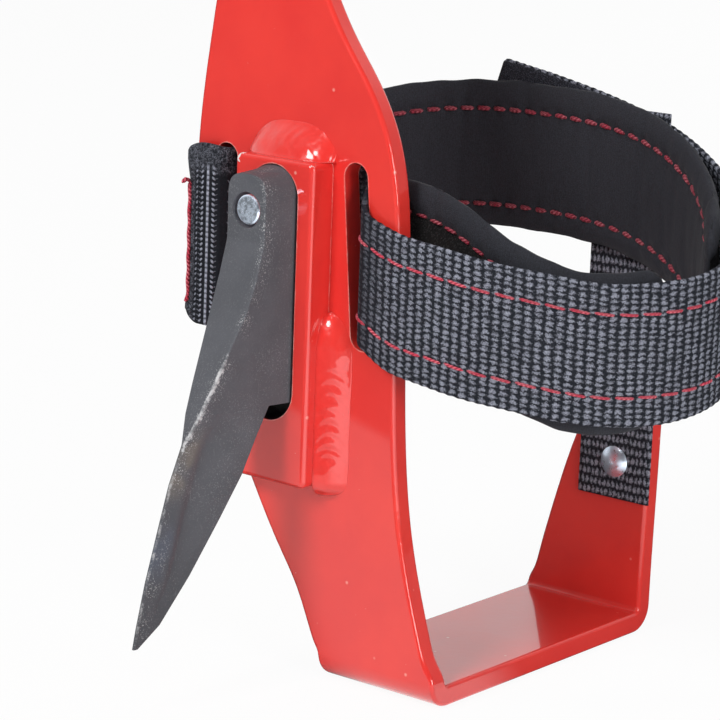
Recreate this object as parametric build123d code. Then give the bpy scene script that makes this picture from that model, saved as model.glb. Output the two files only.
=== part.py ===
from build123d import *
import math
import os

# A tree climbing spike for the left foot, in millimetres.
# X runs from heel to toe, Y from the inner side of the leg to the outer side, Z up.
# The origin is the middle of the tread's top face, where the boot stands.

# Stirrup iron: one piece of flat steel, cut to shape and bent up on both sides of the boot
PLATE_T = 6.0
INNER_WIDTH = 92.2
TREAD_HALF = 20.3
BEND_OUTER_R = 7.4
BEND_INNER_R = 1.5
EDGE_ROUND = 1.1
SHANK_X = -46.0
SHANK_HALF = 15.0
SHANK_TOP = 310.0
UPRIGHT_TOP = 76.0

# Strap slots in the shank, each with its middle, its length and its lean from upright
SLOT_WIDTH = 8.0
TOE_SLOT = (-10.2, 113.6, 50.4, 5.3)
HEEL_SLOT = (-56.8, 111.9, 53.6, 3.3)

# Slot for the height setting
SET_SLOT_WIDTH = 8.6
SET_SLOT_LOW = 218.0
SET_SLOT_HIGH = 296.0

# Gaff block, welded to the outer face of the shank
BLOCK_X = -33.8
BLOCK_WIDTH = 27.6
BLOCK_DEPTH = 8.4
BLOCK_LOW = 49.2
BLOCK_HIGH = 138.2
BLOCK_ROUND = 1.4
POCKET_WIDTH = 17.6
POCKET_LOW = 66.5
POCKET_HIGH = 136.7

# Weld beads round the block
TOE_WELD_LEG = 8.6
HEEL_WELD_LEG = 5.4
TOP_WELD_LEG = 8.8
WELD_LOW = 49.4
WELD_HIGH = 92.0
WELD_BULGE = 0.9
WELD_DEPTH = 6.4

# Gaff: height, front distance from the shank, front half width, rear distance, rear half width
TANG_HALF = 7.9
TANG_TOP = 135.7
GAFF_STEP = 72.6
TANG_ROWS = [
    (138.0, 19.0, 6.6),
    (117.0, 19.0, 6.6),
    (108.0, 21.6, 6.6),
    (100.0, 24.6, 6.4),
    (92.0, 28.5, 5.4),
    (80.0, 34.5, 3.8),
    (GAFF_STEP, 38.2, 2.6),
]
SPIKE_ROWS = [
    (GAFF_STEP, 38.2, 2.6, 15.0, 6.7),
    (65.0, 41.7, 0.5, 19.5, 6.5),
    (55.0, 46.5, 0.4, 24.5, 6.0),
    (44.0, 50.2, 0.4, 32.0, 5.1),
    (30.0, 54.8, 0.4, 41.5, 3.5),
    (18.0, 58.0, 0.4, 50.7, 1.7),
    (12.6, 59.2, 0.4, 57.6, 0.5),
]
SCREW_Z = 125.3
SCREW_R = 4.0
SCREW_HOLE_R = 4.5
SCREW_HEAD_R = 7.6
SCREW_HEAD_T = 3.6
SCREW_HEAD_SUNK = 0.2
SCREW_RECESS = 0.5
SCREW_TIP_CHAMFER = 0.4

# Ankle straps: points are X, distance behind the shank's outer face, and height of the middle
WEBBING_T = 1.7
STRAP_WIDTH = 38.0
STRAP_GATHER = 2.8
STRAP_GATHER_REACH = 16.0
LOOP_WIDTH = 50.0
STRAP_ROUTE = [
    (-34.0, 7.6, 110.5), (-22.0, 7.6, 110.2), (-15.0, 7.6, 110.0), (-12.2, 7.3, 109.8),
    (-10.7, 5.3, 109.6), (-9.7, 3.0, 109.3), (-9.0, 0.8, 109.0), (-7.9, -1.2, 108.4),
    (-5.0, -1.8, 107.0), (2.0, -2.0, 104.2), (14.0, -1.9, 102.3), (28.0, 0.5, 100.2),
    (42.0, 7.0, 98.0), (54.0, 17.0, 95.6), (64.0, 31.0, 95.2), (69.0, 48.0, 97.0),
    (66.0, 66.0, 101.8), (56.0, 81.5, 109.0), (40.0, 93.0, 117.5), (20.0, 99.9, 125.2),
    (0.0, 101.4, 130.6), (-20.0, 101.2, 134.8), (-38.0, 100.0, 138.0),
]
LOOP_ROUTE = [
    (-43.0, 7.7, 112.0), (-46.0, 7.7, 112.0), (-49.0, 7.7, 112.0), (-52.0, 7.7, 112.0),
    (-55.2, 7.3, 112.0), (-56.4, 5.2, 112.0),
    (-56.8, 3.0, 112.0), (-57.2, 0.8, 112.0), (-58.5, -1.2, 112.0), (-61.5, -1.9, 112.0),
    (-66.0, -2.0, 112.0), (-70.2, -1.2, 112.0), (-71.7, 1.5, 112.0), (-71.6, 5.0, 112.0),
    (-70.0, 7.5, 112.0), (-67.0, 8.1, 112.0), (-63.0, 8.1, 112.0),
]
HOOK_ROUTE = [(6.0, 99.5, 129.2), (-8.0, 99.6, 132.4), (-22.0, 99.4, 135.3), (-36.0, 98.4, 137.7)]
HOOK_WIDTH = 35.0
HOOK_T = 1.0
HOOK_CLEAR = 0.25
PAD_ROUTE = [
    (61.5, 38.0, 96.0), (57.0, 28.0, 94.8), (49.0, 18.9, 94.8), (39.5, 13.0, 98.0),
    (28.0, 10.6, 103.0), (14.0, 10.8, 109.5), (0.0, 11.6, 112.7), (-15.0, 12.1, 113.3),
    (-34.0, 12.2, 113.2), (-52.0, 12.4, 113.2), (-66.0, 14.8, 113.6), (-74.0, 23.5, 114.8),
    (-77.0, 38.0, 117.0), (-76.0, 54.0, 120.0), (-70.0, 70.5, 124.0), (-58.0, 83.0, 127.5),
    (-40.0, 90.8, 129.8), (-20.0, 93.4, 130.3), (0.0, 93.6, 129.5), (20.0, 91.6, 126.0),
    (37.0, 85.5, 119.5), (51.0, 75.0, 110.5), (59.5, 62.0, 103.0),
]
PAD_HEIGHT = 43.0
PAD_HALF_T = 2.5
PAD_ROW = 14.6
PAD_ROW_HALF_T = 1.5
PAD_ROLL = 0.88

# Outer tie: a short strap riveted inside the outer upright, which holds the ankle strap up
TIE_X = 9.5
TIE_WIDTH = 25.0
TIE_T = 1.2
TIE_GAP = 0.05
TIE_LOW = 33.0
TIE_HIGH = 148.0
TIE_RIVETS = (44.0, 62.0)
RIVET_R = 2.1
RIVET_HEAD_R = 4.6
RIVET_HEAD_T = 1.6
RIVET_INSET = 0.4

# Calf bar and the screws that clamp it to the shank
BAR_T = 5.0
BAR_GAP = 0.1
BAR_ROUND = 0.8
BAR_LOW = 206.0
BAR_HIGH = 384.0
CLAMP_Z = (222.0, 252.0)
M8_R = 4.0
M8_HEAD_R = 7.6
M8_HEAD_T = 3.6
WASHER_R = 8.0
WASHER_T = 1.6
NUT_ACROSS = 13.0
NUT_T = 6.5
SCREW_END = 1.6
SCREW_CHAMFER = 0.8

# Calf cup, which rocks on the calf bar, with its pad and strap
PIVOT_Z = 362.0
PIVOT_CLEAR = 0.05
PIVOT_HEAD_SUNK = 0.3
SPACER_T = 1.1
SPACER_R = 12.0
CUP_R = 58.0
CUP_T = 3.0
CUP_BOSS_R = 14.0
CUP_BOSS_T = 3.0
CUP_HALF_ANGLE = 62.0
CUP_HEIGHT = 90.0
CUP_CORNER = 22.0
CALF_PAD_R = 52.9
CALF_PAD_HALF_T = 4.4
CALF_PAD_ROW_HALF_T = 2.6
CALF_PAD_HEIGHT = 104.0
CALF_PAD_ROW = 36.0
CALF_PAD_HALF_ANGLE = 74.0
CALF_PAD_STATIONS = 12
CALF_STRAP_WIDTH = 38.0
CALF_STRAP_GAP = 0.3
FOLD_R = 2.6
RING_WIRE_R = 1.5
RING_HALF_HEIGHT = 22.5
RING_CORNER_R = 3.0
RING_ANGLES = (82.0, 97.0)
STRAP_REAR_END = -30.0
STRAP_TAIL_END = 185.0
CALF_HOOK_ANGLES = (125.0, 181.0)
CALF_HOOK_WIDTH = 25.0
LOOP_FRONT_END = 30.0
LOOP_TAIL_END = 62.0
CUP_RIVETS = [(-38.0, -11.0), (-38.0, 11.0), (38.0, -11.0), (38.0, 11.0)]

FACE_Y = -(INNER_WIDTH / 2 + PLATE_T)
BAR_Y = PLATE_T + BAR_GAP
BAR_BACK = BAR_Y + BAR_T
CUP_OUTER_R = CUP_R + CUP_T
BOSS_Y = BAR_BACK + SPACER_T + 2 * PIVOT_CLEAR
LEG_Y = BOSS_Y + CUP_BOSS_T + CUP_OUTER_R
PIVOT_HEAD_TOP = BOSS_Y + CUP_BOSS_T + CUP_T - PIVOT_HEAD_SUNK
PIVOT_HEAD_LOW = PIVOT_HEAD_TOP - M8_HEAD_T
STRAP_R = CUP_OUTER_R + CALF_STRAP_GAP + WEBBING_T / 2


def behind(distance):
    """Y of a point at this distance behind the shank's outer face."""
    return FACE_Y + distance


def profile_xz(face, near, far):
    """Solid of an outline drawn in X and Z, between two distances behind the outer face."""
    return extrude(Plane.XZ.offset(-behind(far)) * face, far - near)


def rod(x, z, near, far, radius):
    """Round bar along Y, between two distances behind the shank's outer face."""
    return profile_xz(Pos(x, z) * Circle(radius), near, far)


def cone(x, z, near, near_radius, far, far_radius):
    """Cone along Y between two distances behind the outer face."""
    small = Plane.XZ.offset(-behind(near)) * (Pos(x, z) * Circle(near_radius))
    large = Plane.XZ.offset(-behind(far)) * (Pos(x, z) * Circle(far_radius))
    return loft([small, large])


def shank_outline():
    """Outline of the inner side: tread width at the bend, wide at the ankle, a bar above."""
    left = SHANK_X - SHANK_HALF
    right = SHANK_X + SHANK_HALF
    shoulder = 206.0
    round_z = SHANK_TOP - SHANK_HALF
    toe_edge = Spline(
        (TREAD_HALF, 0), (17.4, 6.2), (14.6, 12.8), (12.5, 19.4),
        (7.2, 39.5), (3.8, 66.0), (2.8, 90.0), (1.9, 130.0),
        (-1.9, 146.1), (-8.7, 159.0), (-19.2, 173.1), (-27.8, 188.0), (right, shoulder),
        tangents=[(0, 1), (0, 1)],
    )
    heel_edge = Spline(
        (left, shoulder), (-63.9, 177.0), (-68.0, 150.0), (-69.4, 132.0), (-67.8, 104.0),
        (-62.0, 77.0), (-46.1, 45.4), (-35.7, 28.5), (-29.9, 20.0), (-25.8, 12.0), (-23.4, 6.6),
        (-21.5, 3.0), (-TREAD_HALF, 0),
        tangents=[(0, -1), (0, -1)],
    )
    edges = [
        Line((-TREAD_HALF, -PLATE_T - 2), (TREAD_HALF, -PLATE_T - 2)),
        Line((TREAD_HALF, -PLATE_T - 2), (TREAD_HALF, 0)),
        toe_edge,
        Line((right, shoulder), (right, round_z)),
        ThreePointArc((right, round_z), (SHANK_X, SHANK_TOP), (left, round_z)),
        Line((left, round_z), (left, shoulder)),
        heel_edge,
        Line((-TREAD_HALF, 0), (-TREAD_HALF, -PLATE_T - 2)),
    ]
    return make_face(edges)


def upright_outline():
    """Outline of the outer side: a short upright that leans towards the toe."""
    top_r = 11.5
    toe_x = TIE_X + top_r
    heel_x = TIE_X - top_r
    round_z = UPRIGHT_TOP - top_r
    heel_edge = Spline(
        (heel_x, round_z), (-6.0, 48.2), (-12.5, 27.4), (-16.8, 11.0), (-18.6, 5.0), (-TREAD_HALF, 0),
        tangents=[(0, -1), (0, -1)],
    )
    edges = [
        Line((-TREAD_HALF, -PLATE_T - 2), (TREAD_HALF, -PLATE_T - 2)),
        Line((TREAD_HALF, -PLATE_T - 2), (TREAD_HALF, 0)),
        Spline((TREAD_HALF, 0), (toe_x, round_z), tangents=[(0, 1), (0, 1)]),
        ThreePointArc((toe_x, round_z), (TIE_X, UPRIGHT_TOP), (heel_x, round_z)),
        heel_edge,
        Line((-TREAD_HALF, 0), (-TREAD_HALF, -PLATE_T - 2)),
    ]
    return make_face(edges)


def bent_strip():
    """The bent section of the iron, seen along the foot, made longer than the iron is wide."""
    outer_half = INNER_WIDTH / 2 + PLATE_T
    height = SHANK_TOP + PLATE_T
    outer = Pos(0, height / 2 - PLATE_T) * Rectangle(2 * outer_half, height)
    outer = fillet(outer.vertices().sort_by(Axis.Y)[:2], BEND_OUTER_R)
    inner = Pos(0, height / 2) * Rectangle(INNER_WIDTH, height)
    inner = fillet(inner.vertices().sort_by(Axis.Y)[:2], BEND_INNER_R)
    return extrude(Plane.YZ * (outer - inner), 90, both=True)


def long_edges(iron):
    """The edges along the outline of the iron's broad faces."""
    chosen = []
    for edge in iron.edges():
        box = edge.bounding_box().size
        across = box.X < 0.1 and box.Z < 0.1
        under = box.X < 0.1 and box.Y < 0.1 and box.Z < PLATE_T + 0.5
        bend_line = box.Y < 0.01 and box.Z < 0.01
        if not (across or under or bend_line):
            chosen.append(edge)
    return chosen


def strap_slot(middle_x, middle_z, length, lean):
    """Cutter for one strap slot in the shank."""
    slot = Pos(middle_x, middle_z) * Rot(0, 0, lean) * SlotOverall(length, SLOT_WIDTH, rotation=90)
    return profile_xz(slot, -1, PLATE_T + 1)


def stirrup_iron():
    shank = profile_xz(shank_outline(), -5, INNER_WIDTH / 2 + PLATE_T)
    upright = profile_xz(upright_outline(), INNER_WIDTH / 2 + PLATE_T, INNER_WIDTH + 2 * PLATE_T + 5)
    iron = bent_strip() & (shank + upright)
    iron = fillet(long_edges(iron), EDGE_ROUND)
    iron -= strap_slot(*TOE_SLOT)
    iron -= strap_slot(*HEEL_SLOT)
    set_length = SET_SLOT_HIGH - SET_SLOT_LOW + SET_SLOT_WIDTH
    set_slot = SlotOverall(set_length, SET_SLOT_WIDTH, rotation=90)
    iron -= profile_xz(Pos(SHANK_X, (SET_SLOT_LOW + SET_SLOT_HIGH) / 2) * set_slot, -1, PLATE_T + 1)
    iron -= rod(BLOCK_X, SCREW_Z, -1, PLATE_T + 1, SCREW_HOLE_R)
    iron -= cone(BLOCK_X, SCREW_Z, PLATE_T - SCREW_HEAD_T, SCREW_R, PLATE_T, SCREW_HEAD_R)
    outer_face = INNER_WIDTH + 2 * PLATE_T
    for z in TIE_RIVETS:
        iron -= rod(TIE_X, z, INNER_WIDTH + PLATE_T - 1, outer_face + 1, RIVET_R)
    return iron


def gaff_block():
    """Steel block with the open pocket that the gaff's tang drops into."""
    middle_z = (BLOCK_LOW + BLOCK_HIGH) / 2
    face = Pos(BLOCK_X, middle_z) * RectangleRounded(BLOCK_WIDTH, BLOCK_HIGH - BLOCK_LOW, 2.0)
    block = profile_xz(face, -BLOCK_DEPTH, 0)
    front = block.faces().sort_by(Axis.Y)[0]
    block = fillet(front.edges(), BLOCK_ROUND)
    slot = SlotOverall(POCKET_HIGH - POCKET_LOW, POCKET_WIDTH, rotation=90)
    return block - profile_xz(Pos(BLOCK_X, (POCKET_LOW + POCKET_HIGH) / 2) * slot, -BLOCK_DEPTH - 1, 1)


def bead_section(leg, depth):
    """Corner section of a weld bead, with its face swollen outwards."""
    middle = (leg / 2 + WELD_BULGE, depth / 2 + WELD_BULGE)
    edges = [
        Line((0, 0), (leg, 0)),
        ThreePointArc((leg, 0), middle, (0, depth)),
        Line((0, depth), (0, 0)),
    ]
    return make_face(edges)


def weld_top():
    """Bead along the top of the block."""
    corner = Plane((BLOCK_X - BLOCK_WIDTH / 2, FACE_Y, BLOCK_HIGH), x_dir=(0, 0, 1), z_dir=(1, 0, 0))
    return extrude(corner * bead_section(TOP_WELD_LEG, WELD_DEPTH), BLOCK_WIDTH)


def weld_side(leg):
    """Bead along the toe side of the block, low down."""
    corner = Plane((BLOCK_X + BLOCK_WIDTH / 2, FACE_Y, WELD_HIGH), x_dir=(1, 0, 0), z_dir=(0, 0, -1))
    return extrude(corner * bead_section(leg, WELD_DEPTH), WELD_HIGH - WELD_LOW)


def weld_heel_side():
    """The narrower bead on the other side, clear of the heel slot."""
    return mirror(weld_side(HEEL_WELD_LEG), Plane.YZ.offset(BLOCK_X))


def level_face(z, points):
    """Flat face at one height from pairs of X and distance in front of the shank."""
    corners = [(x, FACE_Y - front) for x, front in points]
    return Pos(0, 0, z) * make_face(Polyline(*corners, close=True))


def gaff():
    """Forged gaff: a tang that fills the pocket and a spike with a keel in front."""
    tang_faces = []
    for z, front, half in TANG_ROWS:
        tang_faces.append(level_face(z, [
            (BLOCK_X - half, front), (BLOCK_X + half, front),
            (BLOCK_X + TANG_HALF, BLOCK_DEPTH), (BLOCK_X + TANG_HALF, 0),
            (BLOCK_X - TANG_HALF, 0), (BLOCK_X - TANG_HALF, BLOCK_DEPTH),
        ]))
    tang = loft(tang_faces, ruled=True)
    tang_length = TANG_TOP - GAFF_STEP + 2 * TANG_HALF
    stadium = SlotOverall(tang_length, 2 * TANG_HALF, rotation=90)
    tang &= profile_xz(Pos(BLOCK_X, TANG_TOP - tang_length / 2) * stadium, -50, 0)
    spike_faces = []
    for z, front, front_half, rear, rear_half in SPIKE_ROWS:
        spike_faces.append(level_face(z, [
            (BLOCK_X - front_half, front), (BLOCK_X + front_half, front),
            (BLOCK_X + rear_half, rear), (BLOCK_X - rear_half, rear),
        ]))
    body = tang + loft(spike_faces, ruled=True)
    return body - rod(BLOCK_X, SCREW_Z, -30, 1, SCREW_HOLE_R)


def gaff_screw():
    """Countersunk screw put in from the boot side, its tip just inside the gaff's front."""
    tip = -(TANG_ROWS[0][1] - SCREW_RECESS)
    head_low = PLATE_T - SCREW_HEAD_T
    shaft = rod(BLOCK_X, SCREW_Z, tip, head_low, SCREW_R)
    shaft = chamfer(shaft.edges().sort_by(Axis.Y)[0], SCREW_TIP_CHAMFER)
    head_top = PLATE_T - SCREW_HEAD_SUNK
    return shaft + cone(BLOCK_X, SCREW_Z, head_low, SCREW_R, head_top, SCREW_HEAD_R - SCREW_HEAD_SUNK)


def route_stations(points, steps):
    """Places along a smooth strap route, with the direction across the strap at each."""
    route = Spline(*[(x, behind(y), z) for x, y, z in points])
    marks = [route.param_at_point(Vector(x, behind(y), z)) for x, y, z in points]
    fractions = [a + (b - a) * k / steps for a, b in zip(marks, marks[1:]) for k in range(steps)]
    stations = []
    for t in fractions + [1.0]:
        along = route % t
        along = Vector(along.X, along.Y, 0).normalized()
        across = Vector(-along.Y, along.X, 0)
        stations.append(Plane(route @ t, x_dir=across, z_dir=along))
    return stations


def strap(points, width, thickness, steps=2):
    """Flat webbing standing on its edge along a route."""
    sections = [plane * Rectangle(thickness, width) for plane in route_stations(points, steps)]
    return loft(sections, ruled=True)


def ankle_strap():
    """Webbing out through the toe slot, gathered a little where it passes, and round the ankle."""
    sections = []
    for plane in route_stations(STRAP_ROUTE, 2):
        away = abs(plane.origin.X - TOE_SLOT[0]) / STRAP_GATHER_REACH
        gathered = STRAP_GATHER * max(0, 1 - away) if plane.origin.Y < 0 else 0
        sections.append(plane * Rectangle(WEBBING_T, STRAP_WIDTH - gathered))
    return loft(sections, ruled=True)


def pad_section(height, half_t, row, row_half_t):
    """Section of a padded band: a crowned middle, two sewn channels and rolled edges."""
    edge = height / 2
    roll = (edge + row) / 2
    arcs = []
    for side in (1, -1):
        arcs.append(ThreePointArc((0, -side * edge), (side * half_t * PAD_ROLL, -side * roll),
                                  (side * row_half_t, -side * row)))
        arcs.append(ThreePointArc((side * row_half_t, -side * row), (side * half_t, 0),
                                  (side * row_half_t, side * row)))
        arcs.append(ThreePointArc((side * row_half_t, side * row), (side * half_t * PAD_ROLL, side * roll),
                                  (0, side * edge)))
    return make_face(arcs)


def ankle_pad():
    section = pad_section(PAD_HEIGHT, PAD_HALF_T, PAD_ROW, PAD_ROW_HALF_T)
    return loft([plane * section for plane in route_stations(PAD_ROUTE, 1)], ruled=True)


def outer_tie():
    """Short strap inside the outer upright, up to the ankle strap."""
    inner_face = INNER_WIDTH + PLATE_T
    middle = (TIE_LOW + TIE_HIGH) / 2
    face = Pos(TIE_X, middle) * RectangleRounded(TIE_WIDTH, TIE_HIGH - TIE_LOW, 1.5)
    tie = profile_xz(face, inner_face - TIE_T - TIE_GAP, inner_face - TIE_GAP)
    for z in TIE_RIVETS:
        tie -= rod(TIE_X, z, inner_face - 3, inner_face + 1, RIVET_R)
    return tie


def dome(axis_plane, radius, height):
    """Low domed head that stands on a plane."""
    sphere_r = (radius ** 2 + height ** 2) / (2 * height)
    cap = Pos(0, 0, height - sphere_r) * Sphere(sphere_r)
    keep = Pos(0, 0, sphere_r) * Box(4 * sphere_r, 4 * sphere_r, 2 * sphere_r)
    return axis_plane * (cap & keep)


def tie_rivets():
    rivets = []
    inner = INNER_WIDTH + PLATE_T - TIE_T - TIE_GAP
    outer = INNER_WIDTH + 2 * PLATE_T
    for z in TIE_RIVETS:
        rivet = rod(TIE_X, z, inner, outer, RIVET_R)
        rivet += dome(Plane((TIE_X, behind(inner), z), z_dir=(0, -1, 0)), RIVET_HEAD_R, RIVET_HEAD_T)
        rivet += dome(Plane((TIE_X, behind(outer), z), z_dir=(0, 1, 0)), RIVET_HEAD_R, RIVET_HEAD_T)
        rivets.append(rivet)
    return Compound(children=rivets)


def calf_bar():
    length = BAR_HIGH - BAR_LOW
    face = Pos(SHANK_X, BAR_LOW + length / 2) * SlotOverall(length, 2 * SHANK_HALF, rotation=90)
    bar = profile_xz(face, BAR_Y, BAR_BACK)
    flat_edges = bar.edges().filter_by(lambda edge: edge.bounding_box().size.Y < 0.01)
    bar = fillet(flat_edges, BAR_ROUND)
    for z in CLAMP_Z:
        bar -= rod(SHANK_X, z, BAR_Y - 1, BAR_BACK + 1, M8_R)
        bar -= cone(SHANK_X, z, BAR_BACK - M8_HEAD_T, M8_R, BAR_BACK, M8_HEAD_R)
    return bar - rod(SHANK_X, PIVOT_Z, BAR_Y - 1, BAR_BACK + 1, M8_R)


def clamp_screws():
    screws = []
    end = -(WASHER_T + NUT_T + SCREW_END)
    head_low = BAR_BACK - M8_HEAD_T
    for z in CLAMP_Z:
        shaft = rod(SHANK_X, z, end, head_low, M8_R)
        shaft = chamfer(shaft.edges().sort_by(Axis.Y)[0], SCREW_CHAMFER)
        screws.append(shaft + cone(SHANK_X, z, head_low, M8_R, BAR_BACK, M8_HEAD_R))
    return Compound(children=screws)


def clamp_washers():
    ring = Circle(WASHER_R) - Circle(M8_R)
    return Compound(children=[profile_xz(Pos(SHANK_X, z) * ring, -WASHER_T, 0) for z in CLAMP_Z])


def hex_nut(z, near, far):
    """Hexagon nut round a screw along Y, with chamfered corners."""
    corner_r = NUT_ACROSS / math.sqrt(3)
    outline = RegularPolygon(corner_r, 6, rotation=30)
    nut = profile_xz(Pos(SHANK_X, z) * outline, near, far)
    height = far - near
    trim = (corner_r - NUT_ACROSS / 2) * math.tan(math.radians(30)) * 1.6
    barrel = cone(SHANK_X, z, near, NUT_ACROSS / 2 + 0.2, near + trim, corner_r + 0.1)
    barrel += rod(SHANK_X, z, near + trim, near + height, corner_r + 0.1)
    return (nut & barrel) - rod(SHANK_X, z, near - 1, far + 1, M8_R)


def clamp_nuts():
    return Compound(children=[hex_nut(z, -WASHER_T - NUT_T, -WASHER_T) for z in CLAMP_Z])


def pivot_screw():
    """Screw that the calf cup rocks on, its flat head let into the cup."""
    shaft = rod(SHANK_X, PIVOT_Z, BAR_Y - NUT_T - SCREW_END, PIVOT_HEAD_LOW, M8_R)
    shaft = chamfer(shaft.edges().sort_by(Axis.Y)[0], SCREW_CHAMFER)
    return shaft + cone(SHANK_X, PIVOT_Z, PIVOT_HEAD_LOW, M8_R, PIVOT_HEAD_TOP, M8_HEAD_R)


def pivot_spacer():
    ring = Pos(SHANK_X, PIVOT_Z) * (Circle(SPACER_R) - Circle(M8_R + 0.2))
    return profile_xz(ring, BAR_BACK + PIVOT_CLEAR, BAR_BACK + PIVOT_CLEAR + SPACER_T)


def round_leg(angle, radius):
    """X and Y at an angle round the leg's axis: 0 is the shank side, 90 the toe side."""
    turn = math.radians(angle)
    return SHANK_X + radius * math.sin(turn), behind(LEG_Y) - radius * math.cos(turn)


def leg_arc(radius, start, stop):
    middle = (start + stop) / 2
    return ThreePointArc(round_leg(start, radius), round_leg(middle, radius), round_leg(stop, radius))


def band_face(radius, thickness, start, stop):
    """Plan of a curved band round the leg, between two angles less than a full turn apart."""
    inner = radius - thickness / 2
    outer = radius + thickness / 2
    middle = (start + stop) / 2
    edges = [
        leg_arc(inner, start, middle), leg_arc(inner, middle, stop),
        Line(round_leg(stop, inner), round_leg(stop, outer)),
        leg_arc(outer, middle, stop), leg_arc(outer, start, middle),
        Line(round_leg(start, inner), round_leg(start, outer)),
    ]
    return make_face(edges)


def round_leg_solid(face, height):
    return extrude(Pos(0, 0, PIVOT_Z - height / 2) * face, height)


def calf_cup():
    """Curved cup with rounded corners and a boss for the pivot screw."""
    plan = band_face(CUP_R + CUP_T / 2, CUP_T, -CUP_HALF_ANGLE, CUP_HALF_ANGLE)
    shell = round_leg_solid(plan, CUP_HEIGHT)
    width = 2 * CUP_OUTER_R * math.sin(math.radians(CUP_HALF_ANGLE)) + 1
    window = Pos(SHANK_X, PIVOT_Z) * RectangleRounded(width, CUP_HEIGHT, CUP_CORNER)
    shell &= profile_xz(window, 0, LEG_Y)
    boss = rod(SHANK_X, PIVOT_Z, BOSS_Y, BOSS_Y + CUP_BOSS_T + CUP_T, CUP_BOSS_R)
    inside = extrude(Pos(*round_leg(0, 0), PIVOT_Z - CUP_HEIGHT / 2) * Circle(CUP_R), CUP_HEIGHT)
    cup = shell + (boss - inside)
    hole_r = M8_R + PIVOT_CLEAR
    head_r = M8_HEAD_R + 2 * PIVOT_CLEAR
    cup -= rod(SHANK_X, PIVOT_Z, BOSS_Y - 1, PIVOT_HEAD_TOP + 4, hole_r)
    cup -= cone(SHANK_X, PIVOT_Z, PIVOT_HEAD_LOW - PIVOT_CLEAR, hole_r, PIVOT_HEAD_TOP, head_r)
    cup -= rod(SHANK_X, PIVOT_Z, PIVOT_HEAD_TOP, PIVOT_HEAD_TOP + 4, head_r)
    for angle, rise in CUP_RIVETS:
        cup -= rivet_shaft(angle, rise, CUP_R - 2, STRAP_R)
    return cup


def outwards(angle):
    """Direction straight out from the leg's axis."""
    turn = math.radians(angle)
    return Vector(math.sin(turn), -math.cos(turn), 0)


def rivet_shaft(angle, rise, inner, outer):
    """Rivet shaft that points straight out from the leg's axis."""
    foot = (*round_leg(angle, inner), PIVOT_Z + rise)
    return extrude(Plane(foot, z_dir=outwards(angle)) * Circle(RIVET_R), outer - inner)


def cup_rivets():
    rivets = []
    seat = STRAP_R + WEBBING_T / 2
    for angle, rise in CUP_RIVETS:
        head = Plane((*round_leg(angle, seat), PIVOT_Z + rise), z_dir=outwards(angle))
        shaft = rivet_shaft(angle, rise, CUP_R + RIVET_INSET, seat)
        rivets.append(shaft + dome(head, RIVET_HEAD_R, RIVET_HEAD_T))
    return Compound(children=rivets)


def calf_pad():
    """Thick pad inside the cup, sewn in three channels, longer and taller than the cup."""
    section = pad_section(CALF_PAD_HEIGHT, CALF_PAD_HALF_T, CALF_PAD_ROW, CALF_PAD_ROW_HALF_T)
    sections = []
    for k in range(CALF_PAD_STATIONS + 1):
        angle = CALF_PAD_HALF_ANGLE * (2 * k / CALF_PAD_STATIONS - 1)
        out = outwards(angle)
        middle = (*round_leg(angle, CALF_PAD_R), PIVOT_Z)
        sections.append(Plane(middle, x_dir=out, z_dir=(out.Y, -out.X, 0)) * section)
    return loft(sections, ruled=True)


def folded_strap(start, ring_angle, tail, width):
    """Webbing that runs round the leg, folds back round a bar of the ring and lies on itself."""
    low, high = sorted((start, ring_angle))
    inner = band_face(STRAP_R, WEBBING_T, low, high)
    low, high = sorted((tail, ring_angle))
    outer = band_face(STRAP_R + 2 * FOLD_R, WEBBING_T, low, high)
    x, y = round_leg(ring_angle, STRAP_R + FOLD_R)
    fold = Circle(FOLD_R + WEBBING_T / 2) - Circle(FOLD_R - WEBBING_T / 2)
    side = 1 if ring_angle > start else -1
    half = Pos(side * FOLD_R, 0) * Rectangle(2 * FOLD_R, 4 * FOLD_R)
    fold = Pos(x, y) * Rot(0, 0, ring_angle) * (fold & half)
    return round_leg_solid(inner + outer + fold, width)


def drill_rivets(solid, rivets):
    for angle, rise in rivets:
        solid -= rivet_shaft(angle, rise, CUP_R, STRAP_R + WEBBING_T)
    return solid


def calf_strap():
    """Strap from the heel side of the cup round the calf to the ring, with its tail folded back."""
    solid = folded_strap(360 + STRAP_REAR_END, RING_ANGLES[1], STRAP_TAIL_END, CALF_STRAP_WIDTH)
    return drill_rivets(solid, CUP_RIVETS[:2])


def ring_loop():
    """Short loop of webbing that holds the ring to the toe side of the cup."""
    solid = folded_strap(LOOP_FRONT_END, RING_ANGLES[0], LOOP_TAIL_END, CALF_STRAP_WIDTH)
    return drill_rivets(solid, CUP_RIVETS[2:])


def calf_ring():
    """Rectangular wire ring that the calf strap folds round."""
    radius = STRAP_R + FOLD_R
    near = round_leg(RING_ANGLES[0], radius)
    far = round_leg(RING_ANGLES[1], radius)
    low = PIVOT_Z - RING_HALF_HEIGHT
    high = PIVOT_Z + RING_HALF_HEIGHT
    corners = [(*near, low), (*near, high), (*far, high), (*far, low)]
    path = FilletPolyline(*corners, radius=RING_CORNER_R, close=True)
    return sweep(Plane(path @ 0, z_dir=path % 0) * Circle(RING_WIRE_R), path=path)


def calf_hook_tape():
    """Hook tape between the calf strap and its folded tail."""
    gap = 2 * FOLD_R - WEBBING_T
    radius = STRAP_R + FOLD_R
    plan = band_face(radius, gap - 2 * HOOK_CLEAR, *CALF_HOOK_ANGLES)
    return round_leg_solid(plan, CALF_HOOK_WIDTH)


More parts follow.
